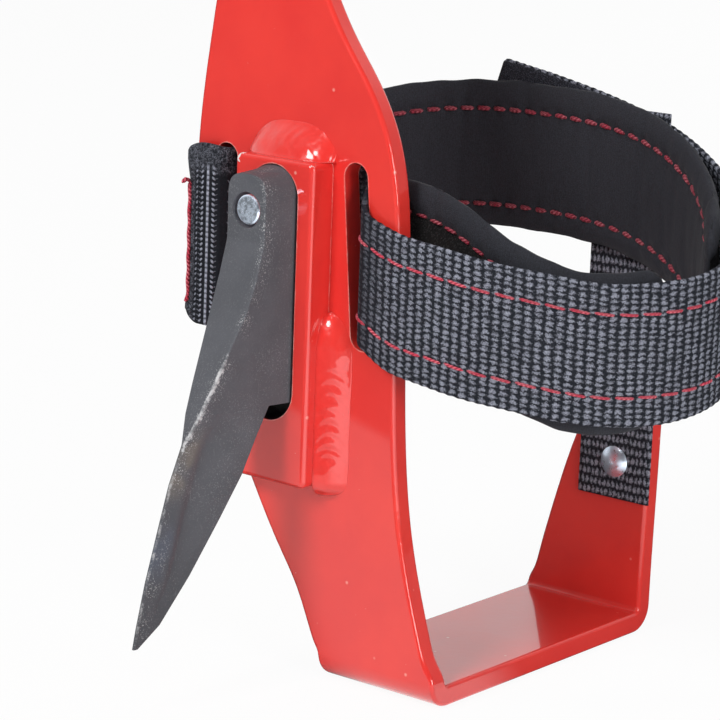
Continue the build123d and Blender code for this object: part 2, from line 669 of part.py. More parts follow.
PIECES = {
    "stirrup_iron": stirrup_iron,
    "gaff_block": gaff_block,
    "weld_top": weld_top,
    "weld_toe_side": lambda: weld_side(TOE_WELD_LEG),
    "weld_heel_side": weld_heel_side,
    "gaff": gaff,
    "gaff_screw": gaff_screw,
    "ankle_strap": ankle_strap,
    "heel_loop": lambda: strap(LOOP_ROUTE, LOOP_WIDTH, WEBBING_T),
    "strap_hook_tape": lambda: strap(HOOK_ROUTE, HOOK_WIDTH, HOOK_T),
    "ankle_pad": ankle_pad,
    "outer_tie": outer_tie,
    "tie_rivets": tie_rivets,
    "calf_bar": calf_bar,
    "clamp_screws": clamp_screws,
    "clamp_washers": clamp_washers,
    "clamp_nuts": clamp_nuts,
    "pivot_screw": pivot_screw,
    "pivot_nut": lambda: hex_nut(PIVOT_Z, BAR_Y - NUT_T, BAR_Y),
    "pivot_spacer": pivot_spacer,
    "calf_cup": calf_cup,
    "calf_pad": calf_pad,
    "calf_strap": calf_strap,
    "ring_loop": ring_loop,
    "calf_ring": calf_ring,
    "calf_hook_tape": calf_hook_tape,
    "cup_rivets": cup_rivets,
}

os.makedirs("parts", exist_ok=True)
for name, make in PIECES.items():
    export_step(make(), f"parts/{name}.step")
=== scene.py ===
import math

import bmesh
import bpy
import numpy as np
from mathutils import Matrix, Vector, noise


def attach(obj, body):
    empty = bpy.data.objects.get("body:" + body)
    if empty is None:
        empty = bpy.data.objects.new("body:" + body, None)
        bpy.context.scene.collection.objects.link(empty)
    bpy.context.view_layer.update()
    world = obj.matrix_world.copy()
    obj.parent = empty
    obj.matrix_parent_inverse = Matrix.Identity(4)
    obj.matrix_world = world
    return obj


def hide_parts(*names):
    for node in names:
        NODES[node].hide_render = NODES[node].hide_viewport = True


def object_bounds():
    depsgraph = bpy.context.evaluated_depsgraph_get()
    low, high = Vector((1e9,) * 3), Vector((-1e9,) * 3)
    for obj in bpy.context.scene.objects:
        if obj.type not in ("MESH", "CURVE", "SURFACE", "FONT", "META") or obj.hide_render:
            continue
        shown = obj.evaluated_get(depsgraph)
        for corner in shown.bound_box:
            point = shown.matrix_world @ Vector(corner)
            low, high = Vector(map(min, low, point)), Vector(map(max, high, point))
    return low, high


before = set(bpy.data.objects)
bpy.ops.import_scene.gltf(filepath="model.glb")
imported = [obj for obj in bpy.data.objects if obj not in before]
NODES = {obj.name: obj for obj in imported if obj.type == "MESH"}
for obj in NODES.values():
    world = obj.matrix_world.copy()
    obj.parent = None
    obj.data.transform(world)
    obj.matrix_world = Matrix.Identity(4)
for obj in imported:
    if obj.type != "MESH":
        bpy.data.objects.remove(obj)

bl_info = {
    "name": "Tree Climbing Spike",
    "version": (1, 0, 0),
    "blender": (4, 5, 0),
    "location": "3D View > Sidebar > Spike",
    "description": "Dresses the climbing spike in paint, forged steel, webbing, pads and stitching",
    "category": "Object",
}

CAD_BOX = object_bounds()

# Lengths below are in millimetres in the part's frame, and meshes are made in metres.
MM = 0.001
FACE_Y = -52.1

# Ankle webbing and pad: X, distance behind the shank's outer face, height of the middle
STRAP_ROUTE = [
    (-34.0, 7.6, 110.5), (-22.0, 7.6, 110.2), (-15.0, 7.6, 110.0), (-12.2, 7.3, 109.8),
    (-10.7, 5.3, 109.6), (-9.7, 3.0, 109.3), (-9.0, 0.8, 109.0), (-7.9, -1.2, 108.4),
    (-5.0, -1.8, 107.0), (2.0, -2.0, 104.2), (14.0, -1.9, 102.3), (28.0, 0.5, 100.2),
    (42.0, 7.0, 98.0), (54.0, 17.0, 95.6), (64.0, 31.0, 95.2), (69.0, 48.0, 97.0),
    (66.0, 66.0, 101.8), (56.0, 81.5, 109.0), (40.0, 93.0, 117.5), (20.0, 99.9, 125.2),
    (0.0, 101.4, 130.6), (-20.0, 101.2, 134.8), (-38.0, 100.0, 138.0), (-41.3, 99.7, 138.6),
]
LOOP_Z = 112.0
LOOP_ROUTE = [(x, distance, LOOP_Z) for x, distance in (
    (-43.0, 7.7), (-46.0, 7.7), (-49.0, 7.7), (-52.0, 7.7), (-55.2, 7.3), (-56.4, 5.2),
    (-56.8, 3.0), (-57.2, 0.8), (-58.5, -1.2), (-61.5, -1.9), (-66.0, -2.0), (-70.2, -1.2),
    (-71.7, 1.5), (-71.6, 5.0), (-70.0, 7.5), (-67.0, 8.1), (-63.0, 8.1))]
HOOK_ROUTE = [
    (6.0, 99.5, 129.2), (-8.0, 99.6, 132.4), (-22.0, 99.4, 135.3), (-36.0, 98.4, 137.7),
    (-40.8, 98.0, 138.5),
]
PAD_ROUTE = [
    (61.5, 38.0, 96.0), (57.0, 28.0, 94.8), (49.0, 18.9, 94.8), (39.5, 13.0, 98.0),
    (28.0, 10.6, 103.0), (14.0, 10.8, 109.5), (0.0, 11.6, 112.7), (-15.0, 12.1, 113.3),
    (-34.0, 12.2, 113.2), (-52.0, 12.4, 113.2), (-66.0, 14.8, 113.6), (-74.0, 23.5, 114.8),
    (-77.0, 38.0, 117.0), (-76.0, 54.0, 120.0), (-70.0, 70.5, 124.0), (-58.0, 83.0, 127.5),
    (-40.0, 90.8, 129.8), (-20.0, 93.4, 130.3), (0.0, 93.6, 129.5), (20.0, 91.6, 126.0),
    (37.0, 85.5, 119.5), (51.0, 75.0, 110.5), (59.5, 62.0, 103.0),
]

# X and distance behind the face: the toe slot's middle, the heel loop's spine and its upright seam
SLOT_AT = (-9.7, 3.0)
SPINE_AT = (-62.6, -1.95)
LOOP_SEAM_AT = (-69.5, -1.55)

# Widths of webbing and tapes, thickness of the tapes, and pitch of the ribs where it isn't the weave's
STRAP_WIDTH = 38.0
LOOP_WIDTH = 50.0
ANKLE_TAPE_WIDTH = 37.0
CALF_TAPE_WIDTH = 25.0
ANKLE_TAPE_THICK = 1.0
CALF_TAPE_THICK = 2.9
TAPE_RIB = 2.0
LOOP_RIB = 1.7

# Sewn rows: rise over a strap's middle, gap over its face, distances from its ends, and slant on the pads
SEAM_RISE = 11.0
SEAM_GAP = 0.02
STRAP_SEAM_ENDS = (2.0, 6.0)
CALF_SEAM_END = 3.0
PAD_SEAM_END = 4.0
PAD_SLANT = 0.1

# Strap tail: length of its slanted end, how far the slant runs back per height, and where it starts
TAIL_CUT = 22.0
TAIL_SLANT = 0.30
TAIL_CORNER = 8.0

# Ankle strap in its slot: how much it gathers and over what reach, the lift of its hidden top edge,
# and where that lift starts and is full, from the slot's middle
GATHER = 1.4
GATHER_REACH = 16.0
HIDDEN_LIFT = 9.5
HIDDEN_SPAN = (8.0, -1.0)

# Heel loop's upright seam: foot and top over the middle, and its loose end as along, out and rise
LOOP_SEAM = (-19.5, 14.6)
LOOSE_END = [(0.3, 0.1, 14.3), (0.1, 0.9, 15.2), (-0.2, 1.8, 15.5), (-0.3, 2.7, 15.0), (-0.2, 3.2, 14.6)]

# Outer tie: middle, distance behind the face, foot, top, half width and half thickness
TIE_X = 9.5
TIE_BEHIND = 97.55
TIE_LOW = 33.0
TIE_HIGH = 148.0
TIE_HALF = 12.5
TIE_HALF_THICK = 0.55

# Pads: half height, rises of the sewn rows, half thickness between the rows and at them
ANKLE_PAD = (21.5, (-15.0, 13.2), 2.5, 1.5)
CALF_PAD = (52.0, (-36.0, 36.0), 4.3, 2.6)

# Calf webbing and pad: the leg's axis, and radii and angles round it, where 0 faces the shank
LEG_X = -46.0
LEG_BEHIND = 76.3
PIVOT_Z = 362.0
STRAP_R = 62.15
FOLD_R = 2.6
CALF_PAD_R = 52.9
CALF_PAD_HALF_ANGLE = 74.0
ARC_STEP = 4.0

# Gaff's block, its pocket and its screw
BLOCK_X = -33.8
BLOCK_HALF = 13.8
BLOCK_TOP = 138.2
BLOCK_DEPTH = 8.4
POCKET_HALF = 8.8
POCKET_LOW = 66.5
SCREW_Z = 125.3
SCREW_MOUTH_R = 4.85

# Gaff: its step, tang and arch, and rows of height, front distance from the shank and front half width,
# followed on the spike by rear distance and rear half width
GAFF_STEP = 72.6
TANG_HALF = 7.9
TANG_TOP = 136.3
FRONT_TOP = 135.0
ARCH_LOW = 126.0
TANG_ROWS = [
    (GAFF_STEP, 38.2, 2.6), (80.0, 34.5, 3.8), (92.0, 28.5, 5.4), (100.0, 24.6, 6.4),
    (108.0, 21.6, 6.6), (117.0, 19.0, 6.6), (138.0, 19.0, 6.6),
]
SPIKE_ROWS = [
    (12.6, 59.2, 0.4, 57.6, 0.5), (18.0, 58.0, 0.4, 50.7, 1.7), (30.0, 54.8, 0.4, 41.5, 3.5),
    (44.0, 50.2, 0.4, 32.0, 5.1), (55.0, 46.5, 0.4, 24.5, 6.0), (65.0, 41.7, 0.5, 19.5, 6.5),
    (GAFF_STEP, 38.2, 2.6, 15.0, 6.7),
]
GAFF_EDGE_R = 0.34

# Groove along the spike's flanks: depth, heights, its places on the flank there, widths to front and rear
GROOVE_DEPTH = 0.8
GROOVE_HEIGHTS = (29.5, 46.0, 63.0)
GROOVE_SPOTS = (0.55, 0.39, 0.32)
GROOVE_WIDTHS = (0.09, 0.32)

# How far wear reaches from the gaff's ridge, over its flank and over its front
FLANK_WEAR = 5.0
FRONT_WEAR = 1.8

# Colours of dust, chips, thin paint with a painted highlight on edges, painted shade in the pocket, the
# steel's tints, plastic and white light
DUST = (0.95, 0.50, 0.42)
CHIP = (0.82, 0.76, 0.74)
THIN_PAINT_AND_HIGHLIGHT = (0.94, 0.50, 0.44)
PAINTED_POCKET_SHADE = (0.010, 0.009, 0.009)
BROWN_HEAT = (0.190, 0.160, 0.130)
BLUE_HEAT = (0.085, 0.105, 0.150)
SCRATCH = (0.27, 0.27, 0.28)
GRIT = (0.50, 0.50, 0.50)
PLASTIC = ((0.018, 0.018, 0.019), (0.032, 0.032, 0.034))
WHITE = (1.0, 1.0, 1.0)

# The photograph's camera
CAMERA_AT = (458.07, -626.87, 253.25)
CAMERA_AZIMUTH = 39.075
CAMERA_ELEVATION = 12.726
CAMERA_ROLL = 2.065
CAMERA_LENS = 142.14

COLOUR = {"subtype": "COLOR", "size": 3, "min": 0.0, "max": 1.0}


class SpikeMetal(bpy.types.PropertyGroup):
    """Paint, forged steel and plated hardware."""

    paint: bpy.props.FloatVectorProperty(
        name="Paint", description="Colour of the gloss paint",
        default=(0.80, 0.040, 0.029), **COLOUR)
    paint_deep: bpy.props.FloatVectorProperty(
        name="Deep paint", description="Colour where the paint lies thick",
        default=(0.74, 0.032, 0.026), **COLOUR)
    steel: bpy.props.FloatVectorProperty(
        name="Forged steel", description="Colour of the gaff",
        default=(0.096, 0.099, 0.113), **COLOUR)
    steel_worn: bpy.props.FloatVectorProperty(
        name="Worn steel", description="Colour of the gaff's worn ridge",
        default=(0.55, 0.55, 0.56), **COLOUR)
    zinc: bpy.props.FloatVectorProperty(
        name="Zinc", description="Colour of the plated screws, nuts and rivets",
        default=(0.60, 0.68, 0.79), **COLOUR)
    ripple_pitch: bpy.props.FloatProperty(
        name="Weld ripple pitch", description="Distance between the ripples of a weld bead",
        unit="LENGTH", default=0.0034, min=0.001, max=0.02)
    ripple_height: bpy.props.FloatProperty(
        name="Weld ripple height", description="Height of the ripples of a weld bead",
        unit="LENGTH", default=0.00007, min=0, max=0.002)


class SpikeCloth(bpy.types.PropertyGroup):
    """Webbing, pads and thread."""

    # The raised yarn's colour holds painted glints, and the gap's colour is the charcoal darkened by painted
    # shade between the yarns.
    yarn: bpy.props.FloatVectorProperty(
        name="Yarn", description="Colour of the webbing's raised yarn",
        default=(0.440, 0.462, 0.560), **COLOUR)
    yarn_gap: bpy.props.FloatVectorProperty(
        name="Yarn gap", description="Colour between the webbing's yarns",
        default=(0.0135, 0.0155, 0.0225), **COLOUR)
    pad: bpy.props.FloatVectorProperty(
        name="Pad cloth", description="Colour of the smooth pad cloth",
        default=(0.0160, 0.0168, 0.0225), **COLOUR)
    pile: bpy.props.FloatVectorProperty(
        name="Loop pile", description="Colour of the loop pile on the ankle pad",
        default=(0.012, 0.011, 0.012), **COLOUR)
    thread: bpy.props.FloatVectorProperty(
        name="Thread", description="Colour of the stitching",
        default=(0.66, 0.034, 0.080), **COLOUR)
    # The same red thread darkened as painted shade, for the stitches on the pads.
    thread_painted_shade: bpy.props.FloatVectorProperty(
        name="Thread in painted shade", description="Colour of the stitching sunk in the pads",
        default=(0.30, 0.016, 0.040), **COLOUR)
    webbing_thickness: bpy.props.FloatProperty(
        name="Webbing thickness", description="Thickness of the webbing",
        unit="LENGTH", default=0.0017, min=0.0005, max=0.005)
    column: bpy.props.FloatProperty(
        name="Weave column", description="Pitch of the webbing's weave along it",
        unit="LENGTH", default=0.00275, min=0.0005, max=0.01)
    row: bpy.props.FloatProperty(
        name="Weave row", description="Pitch of the webbing's weave across it",
        unit="LENGTH", default=0.00152, min=0.0003, max=0.01)
    stitch_pitch: bpy.props.FloatProperty(
        name="Strap stitch pitch", description="Distance from stitch to stitch on the straps",
        unit="LENGTH", default=0.0065, min=0.002, max=0.02)
    stitch_length: bpy.props.FloatProperty(
        name="Strap stitch length", description="Length of one stitch on the straps",
        unit="LENGTH", default=0.0060, min=0.001, max=0.02)
    pad_pitch: bpy.props.FloatProperty(
        name="Pad stitch pitch", description="Distance from stitch to stitch on the pads",
        unit="LENGTH", default=0.0053, min=0.002, max=0.02)
    pad_length: bpy.props.FloatProperty(
        name="Pad stitch length", description="Length of one stitch on the pads",
        unit="LENGTH", default=0.0047, min=0.001, max=0.02)
    thread_radius: bpy.props.FloatProperty(
        name="Thread radius", description="Radius of the sewing thread",
        unit="LENGTH", default=0.00041, min=0.0001, max=0.002)
    pad_thread_radius: bpy.props.FloatProperty(
        name="Pad thread radius", description="Radius of the thick thread on the pads",
        unit="LENGTH", default=0.00072, min=0.0001, max=0.002)


class SpikeStudio(bpy.types.PropertyGroup):
    """Floor, lamps and the air round them."""

    floor: bpy.props.FloatVectorProperty(
        name="Floor", description="Colour of the floor", default=(0.92, 0.92, 0.92), **COLOUR)
    key_power: bpy.props.FloatProperty(
        name="Key lamp", description="Power of the large lamp in front", unit="POWER", default=44.0, min=0)
    top_power: bpy.props.FloatProperty(
        name="Top lamp", description="Power of the lamp overhead", unit="POWER", default=2.0, min=0)
    side_power: bpy.props.FloatProperty(
        name="Side lamp", description="Power of the lamp at the toe side", unit="POWER", default=26.0, min=0)
    back_power: bpy.props.FloatProperty(
        name="Back lamp", description="Power of the low lamp behind", unit="POWER", default=13.0, min=0)
    air: bpy.props.FloatProperty(
        name="Air light", description="Even light from all round", default=0.25, min=0, max=2)
    room: bpy.props.FloatProperty(
        name="Room", description="Brightness of the room behind the camera, as gloss shows it",
        default=0.16, min=0, max=2)


def behind(distance):
    """Y of a point at this distance behind the shank's outer face."""
    return FACE_Y + distance


def in_frame(points):
    """Route points as X, Y and Z."""
    return [(x, behind(y), z) for x, y, z in points]


def round_leg(angle, radius):
    """Point at an angle and a radius round the leg's axis, at the height of the calf cup's pivot."""
    turn = math.radians(angle)
    return (LEG_X + radius * math.sin(turn), behind(LEG_BEHIND) - radius * math.cos(turn), PIVOT_Z)


def leg_arc(radius, start, stop):
    """Points round the leg's axis from one angle to another."""
    count = max(2, int(abs(stop - start) / ARC_STEP) + 1)
    return [round_leg(angle, radius) for angle in np.linspace(start, stop, count)]


def ramp(value, low, high):
    """Share of the way from low to high, held between 0 and 1."""
    return np.clip((value - low) / (high - low), 0, 1)


def quarter_round(share):
    """Height of a quarter circle, from 0 at its foot to 1 at its top."""
    return np.sqrt(1 - (1 - share) ** 2)


def lengths_along(points):
    """Distance of each point from the first, along a line of points."""
    return np.concatenate(([0.0], np.cumsum(np.linalg.norm(np.diff(points, axis=0), axis=1))))


def natural_curve(points, steps):
    """Fine points on a smooth curve through the given points."""
    points = np.array(points, float)
    count = len(points)
    gap = np.diff(lengths_along(points))
    matrix = np.eye(count)
    target = np.zeros((count, 3))
    for i in range(1, count - 1):
        matrix[i, i - 1:i + 2] = (gap[i - 1], 2 * (gap[i - 1] + gap[i]), gap[i])
        rise = (points[i + 1] - points[i]) / gap[i]
        target[i] = 6 * (rise - (points[i] - points[i - 1]) / gap[i - 1])
    bend = np.linalg.solve(matrix, target)
    fine = [points[:1]]
    for i in range(count - 1):
        t = np.linspace(0, gap[i], steps + 1)[1:, None]
        rest = gap[i] - t
        piece = (bend[i] * rest ** 3 + bend[i + 1] * t ** 3) / (6 * gap[i])
        piece += (points[i] / gap[i] - bend[i] * gap[i] / 6) * rest
        piece += (points[i + 1] / gap[i] - bend[i + 1] * gap[i] / 6) * t
        fine.append(piece)
    return np.concatenate(fine)


class Route:
    """A smooth line through points, with a level direction across it at each place."""

    def __init__(self, points, spacing, steps=24):
        curve = natural_curve(points, steps)
        run = lengths_along(curve)
        count = max(3, int(round(run[-1] / spacing)) + 1)
        self.length = float(run[-1])
        self.marks = np.linspace(0.0, self.length, count)
        self.points = np.stack([np.interp(self.marks, run, curve[:, k]) for k in range(3)], axis=1)
        along = np.gradient(self.points, self.marks, axis=0)
        along[:, 2] = 0.0
        along /= np.linalg.norm(along, axis=1)[:, None]
        self.across = np.stack([-along[:, 1], along[:, 0], np.zeros(count)], axis=1)

    def place(self, distance, out, rise):
        """Points at a distance along the line, out to its side and above it."""
        distance, out, rise = np.broadcast_arrays(distance, out, rise)
        spot = [np.interp(distance, self.marks, self.points[:, k]) for k in range(3)]
        side = [np.interp(distance, self.marks, self.across[:, k]) for k in range(2)]
        return np.stack([spot[0] + side[0] * out, spot[1] + side[1] * out, spot[2] + rise], axis=-1)

    def nearest(self, x, distance):
        """How far along the line its point lies that is nearest to X and a distance behind the face."""
        gap = np.hypot(self.points[:, 0] - x, self.points[:, 1] - behind(distance))
        return float(self.marks[int(np.argmin(gap))])


def soft_noise(distance, rise, size, seed):
    """Smooth unevenness over a strap or pad, about from -1 to 1."""
    distance, rise = np.broadcast_arrays(distance, rise)
    flat = [noise.noise(Vector((d / size, r / size, seed))) for d, r in zip(distance.ravel(), rise.ravel())]
    return np.array(flat).reshape(distance.shape)


def put(name, data):
    """Object in the scene for a mesh, lamp or camera."""
    thing = bpy.data.objects.new(name, data)
    bpy.context.scene.collection.objects.link(thing)
    return thing


class Shape:
    """Vertices, faces, cloth coordinates and finishes gathered for one mesh."""

    def __init__(self):
        self.points = []
        self.faces = []
        self.cloth = []
        self.finish = []

    def add_rings(self, rings, cloth=None, finish=None):
        """Add a skin over rings of points, with its ends closed."""
        rows, columns = rings.shape[:2]
        if cloth is None:
            cloth = np.zeros((rows, columns, 2))
        if finish is None:
            finish = np.zeros(columns)
        start = len(self.points)
        self.points.extend(map(tuple, rings.reshape(-1, 3)))

        def add_face(corners, number):
            self.faces.append([start + a * columns + b for a, b in corners])
            self.cloth.append([cloth[a, b] for a, b in corners])
            self.finish.append(number)

        for i in range(rows - 1):
            for j in range(columns):
                k = (j + 1) % columns
                add_face([(i, j), (i, k), (i + 1, k), (i + 1, j)], int(finish[j]))
        add_face([(0, j) for j in reversed(range(columns))], 0)
        add_face([(rows - 1, j) for j in range(columns)], 0)

    def add_tube(self, line, radius, sides=6, drawn_in=0.35):
        """Add a thin round tube along a line of points, its ends drawn in."""
        line = np.array(line, float)
        along = np.gradient(line, axis=0)
        along /= np.linalg.norm(along, axis=1)[:, None]
        axis = np.eye(3)[int(np.argmin(np.abs(along.mean(axis=0))))]
        first = np.cross(along, axis)
        first /= np.linalg.norm(first, axis=1)[:, None]
        second = np.cross(along, first)
        turn = np.linspace(0, 2 * math.pi, sides, endpoint=False)
        radii = np.full(len(line), radius)
        radii[[0, -1]] *= drawn_in
        aside = np.cos(turn)[None, :, None] * first[:, None, :]
        above = np.sin(turn)[None, :, None] * second[:, None, :]
        rings = line[:, None, :] + radii[:, None, None] * (aside + above)
        cloth = np.stack(np.meshgrid(lengths_along(line), turn / (2 * math.pi), indexing="ij"), axis=-1)
        self.add_rings(rings, cloth)

    def bend(self, change):
        """Move all points by a function of their places."""
        self.points = [tuple(point) for point in change(np.array(self.points))]

    def make(self, name, body, slot, finishes):
        """Turn the shape into an object that rides on a body."""
        mesh = bpy.data.meshes.new(name)
        mesh.from_pydata([tuple(c * MM for c in p) for p in self.points], [], self.faces)
        layer = mesh.uv_layers.new(name="cloth")
        layer.data.foreach_set("uv", [c for face in self.cloth for pair in face for c in pair])
        mesh.polygons.foreach_set("material_index", self.finish)
        mesh.polygons.foreach_set("use_smooth", [True] * len(mesh.polygons))
        for finish in finishes:
            mesh.materials.append(finish)
        mesh.update()
        tidy = bmesh.new()
        tidy.from_mesh(mesh)
        bmesh.ops.recalc_face_normals(tidy, faces=tidy.faces)
        tidy.to_mesh(mesh)
        tidy.free()
        piece = put(name, mesh)
        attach(piece, body)
        return piece


class Field:
    """A value that changes over a surface and takes part in sums, in one shader tree."""

    def __init__(self, web, socket):
        self.web = web
        self.socket = socket

    def __add__(self, other):
        return self.web.math("ADD", self, other)

    def __sub__(self, other):
        return self.web.math("SUBTRACT", self, other)

    def __rsub__(self, other):
        return self.web.math("SUBTRACT", other, self)

    def __mul__(self, other):
        return self.web.math("MULTIPLY", self, other)

    def __truediv__(self, other):
        return self.web.math("DIVIDE", self, other)

    def __abs__(self):
        return self.web.math("ABSOLUTE", self)


class Web:
    """Adds and joins shader nodes in one tree."""

    def __init__(self, tree):
        self.tree = tree

    def feed(self, sockets, values):
        """Join varying values to their sockets, and set the other sockets to plain ones."""
        for label, value in values.items():
            socket = sockets[label]
            if isinstance(value, Field):
                self.tree.links.new(value.socket, socket)
            elif hasattr(value, "__len__"):
                socket.default_value = (tuple(value) + (1.0,))[:len(socket.default_value)]
            else:
                socket.default_value = value

    def add(self, kind, inputs=None, **settings):
        """Add a node with its settings and inputs."""
        node = self.tree.nodes.new("ShaderNode" + kind)
        for key, value in settings.items():
            setattr(node, key, value)
        self.feed(node.inputs, inputs or {})
        return node

    def fields(self, node):
        """A node's outputs by their labels."""
        return {socket.name: Field(self, socket) for socket in node.outputs}

    def value(self, kind, inputs=None, output=0, **settings):
        """Add a node and give one of its outputs."""
        return Field(self, self.add(kind, inputs, **settings).outputs[output])

    def math(self, operation, *values):
        return self.value("Math", dict(enumerate(values)), operation=operation)

    def most(self, first, second):
        """The larger of two values."""
        return self.math("MAXIMUM", first, second)

    def mix(self, factor, first, second):
        """Blend of two colours."""
        return self.value("Mix", {0: factor, 6: first, 7: second}, 2, data_type="RGBA")

    def span(self, value, low, high, new_low=0.0, new_high=1.0):
        """Map a value from one range to another, eased at both ends."""
        inputs = {"Value": value, "From Min": low, "From Max": high, "To Min": new_low, "To Max": new_high}
        return self.value("MapRange", inputs, interpolation_type="SMOOTHSTEP")

    def band(self, value, foot, full, fade, end):
        """1 from full to fade, eased to 0 at foot and at end."""
        return self.span(value, foot, full) * self.span(value, end, fade)

    def noise(self, place, scale, detail=2.0, roughness=0.5):
        inputs = {"Vector": place, "Scale": scale, "Detail": detail, "Roughness": roughness}
        return self.value("TexNoise", inputs)

    def patches(self, place, grain, *limits):
        """Uneven patches: noise of a scale, detail and roughness, mapped by the limits of a span."""
        return self.span(self.noise(place, *grain), *limits)

    def distance(self, place, point):
        return self.value("VectorMath", {0: place, 1: point}, "Value", operation="DISTANCE")

    def split(self, place):
        """X, Y and Z of a place or a direction."""
        return self.fields(self.add("SeparateXYZ", {0: place})).values()

    def group(self, name, **inputs):
        """Place a shared effect and give its outputs by their labels."""
        node = self.tree.nodes.new("ShaderNodeGroup")
        node.node_tree = bpy.data.node_groups[name]
        self.feed(node.inputs, inputs)
        return self.fields(node)

    def bump(self, height, strength, distance, normal=None):
        inputs = {"Height": height, "Strength": strength, "Distance": distance}
        if normal is not None:
            inputs["Normal"] = normal
        return self.value("Bump", inputs)

    def object_place(self):
        return self.value("TexCoord", output="Object")

    def cloth_place(self):
        return self.value("UVMap", uv_map="cloth")


def new_group(name, inputs, outputs):
    """Empty node group: its web, inputs and result sockets. An input with no number is a place."""
    tree = bpy.data.node_groups.new(name, "ShaderNodeTree")
    for label, value in inputs.items():
        kind = "NodeSocketVector" if value is None else "NodeSocketFloat"
        socket = tree.interface.new_socket(name=label, in_out="INPUT", socket_type=kind)
        if value is not None:
            socket.default_value = value
    for label in outputs:
        tree.interface.new_socket(name=label, in_out="OUTPUT", socket_type="NodeSocketFloat")
    web = Web(tree)
    given = web.fields(tree.nodes.new("NodeGroupInput"))
    return web, given, tree.nodes.new("NodeGroupOutput").inputs


def weave_group():
    """Webbing weave over cloth coordinates in millimetres: columns of lumps and slanted dashes in turn, with
    painted glints on the yarn that fade from each lump's foot to painted shade at its tip.
    """
    web, given, result = new_group(
        "Webbing weave", {"Cloth": None, "Column": 2.75, "Row": 1.52}, ("Height", "Yarn and painted glint"))
    cloth = given["Cloth"]
    across, along, _ = web.split(cloth)
    drift = web.noise(cloth, 0.23, 1.0) * 0.9 - 0.45
    crook = web.noise(cloth, 1.1, 3.0, 0.7) * 1.7 - 0.85
    jolt = web.noise(cloth, 0.8, 3.0, 0.7) * 2.1 - 1.05
    column = (across + (drift + crook)) / given["Column"]
    number = web.math("FLOOR", column)
    place = column - number
    shift = web.value("TexWhiteNoise", {"W": number}, noise_dimensions="1D")
    row = (along + jolt) / given["Row"]
    pair = (shift * 0.7 + row) * 0.5
    step = web.math("FLOOR", pair)
    rise = (pair - step) * 2.0
    cell = web.value("CombineXYZ", {0: number, 1: step, 2: 0.0})
    chance = web.value("TexWhiteNoise", {"Vector": cell}, noise_dimensions="3D")
    middle = place - 0.5
    up = middle * -0.40 + rise
    half = up * -0.36 + 0.66
    lump = yarn_swell(web, (up * 0.18 + (place - 0.56)) / half, (up - 0.70) / 0.66)
    thin = place * -0.30 + 0.56
    dash = yarn_swell(web, middle / 0.52, (middle * 0.10 + (rise - 1.60)) / thin)
    fine = web.noise(cloth, 2.3, 3.0, 0.75)
    fuzz = fine * 1.4 - 0.7
    # Painted light: lumps lighter at their foot and dashes at their head, fading to painted shade toward
    # their tips.
    foot = lump * web.span(up, 0.35, 1.20, 1.40, 0.50)
    root = dash * web.span(place, 0.25, 0.95, 1.30, 0.70)
    lit = web.most(foot, root) + fuzz
    bright = web.span(fine, 0.30, 0.68, 0.50, 1.35) * (chance * 0.40 + 0.88)
    twigs = web.span(fine, 0.56, 0.78, 0.0, 0.16)
    web.feed(result, {
        "Height": web.most(lump, dash) + fuzz,
        "Yarn and painted glint": web.span(lit, 0.0, 1.35) * bright + twigs,
    })


def yarn_swell(web, across, along):
    """Smooth swelling of one yarn, 1 at its middle and 0 from its rim on."""
    return web.most(1.0 - (across * across + along * along), 0.0)


def grain_group():
    """Fine unevenness with a slower tone, for paint, steel, plate, plastic and cloth."""
    web, given, result = new_group(
        "Fine grain", {"Place": None, "Fine": 1200.0, "Slow": 60.0}, ("Height", "Tone"))
    web.feed(result, {
        "Height": web.noise(given["Place"], given["Fine"], 3.0, 0.6),
        "Tone": web.noise(given["Place"], given["Slow"], 4.0, 0.55),
    })


def speck_group():
    """Scattered small specks of dust under paint."""
    web, given, result = new_group(
        "Specks", {"Place": None, "Scale": 150.0, "Share": 0.2, "Size": 0.12}, ("Mask",))
    cells = web.fields(web.add("TexVoronoi", {"Vector": given["Place"], "Scale": given["Scale"]}))
    kept = web.math("LESS_THAN", web.value("SeparateColor", {0: cells["Color"]}), given["Share"])
    near = web.most(1.0 - cells["Distance"] / given["Size"], 0.0)
    web.feed(result, {"Mask": kept * near})


def new_finish(name):
    """Empty material: its web and its shader's sockets."""
    finish = bpy.data.materials.new(name)
    finish.use_nodes = True
    return Web(finish.node_tree), finish.node_tree.nodes["Principled BSDF"].inputs


def toned(colour, share):
    """A colour made darker or lighter."""
    return [min(1.0, c * share) for c in colour]


def chipped(web, place):
    """Chips in the paint on the upper front corners of the gaff's block."""
    near = 0.0
    for side, reach in ((-1, 5.0), (1, 2.6)):
        corner = (BLOCK_X + side * BLOCK_HALF, FACE_Y - BLOCK_DEPTH, BLOCK_TOP)
        gap = web.distance(place, [c * MM for c in corner])
        near = web.most(web.span(gap, reach * MM, 0.3 * reach * MM), near)
    return web.span(near * 0.30 + web.noise(place, 650.0, 3.0, 0.75), 0.72, 0.80)


def worn_edge_and_painted_highlight(web, place):
    """Paler colour along the edges of the iron: thin, uneven paint and a painted highlight."""
    rounded = web.value("Bevel", {"Radius": 0.0007}, samples=6)
    flat = web.value("NewGeometry", output="Normal")
    turn = web.value("VectorMath", {0: rounded, 1: flat}, "Value", operation="DOT_PRODUCT")
    return web.span(turn, 0.985, 0.90) * web.patches(place, (260.0, 4.0, 0.7), 0.36, 0.66, 0.15, 0.85)


def in_pocket(web, place):
    """Mask of the foot of the block's pocket, up to a little above the gaff's step, where shade is painted.
    """
    slack = 0.2
    skin = 0.7
    over_step = 4.0
    spans = (
        (BLOCK_X - POCKET_HALF - slack, BLOCK_X + POCKET_HALF + slack),
        (FACE_Y - BLOCK_DEPTH + skin, FACE_Y + slack),
        (POCKET_LOW - slack, GAFF_STEP + over_step))
    inside = 1.0
    for part, (low, high) in zip(web.split(place), spans):
        inside = web.math("COMPARE", part, (low + high) / 2 * MM, (high - low) / 2 * MM) * inside
    return inside


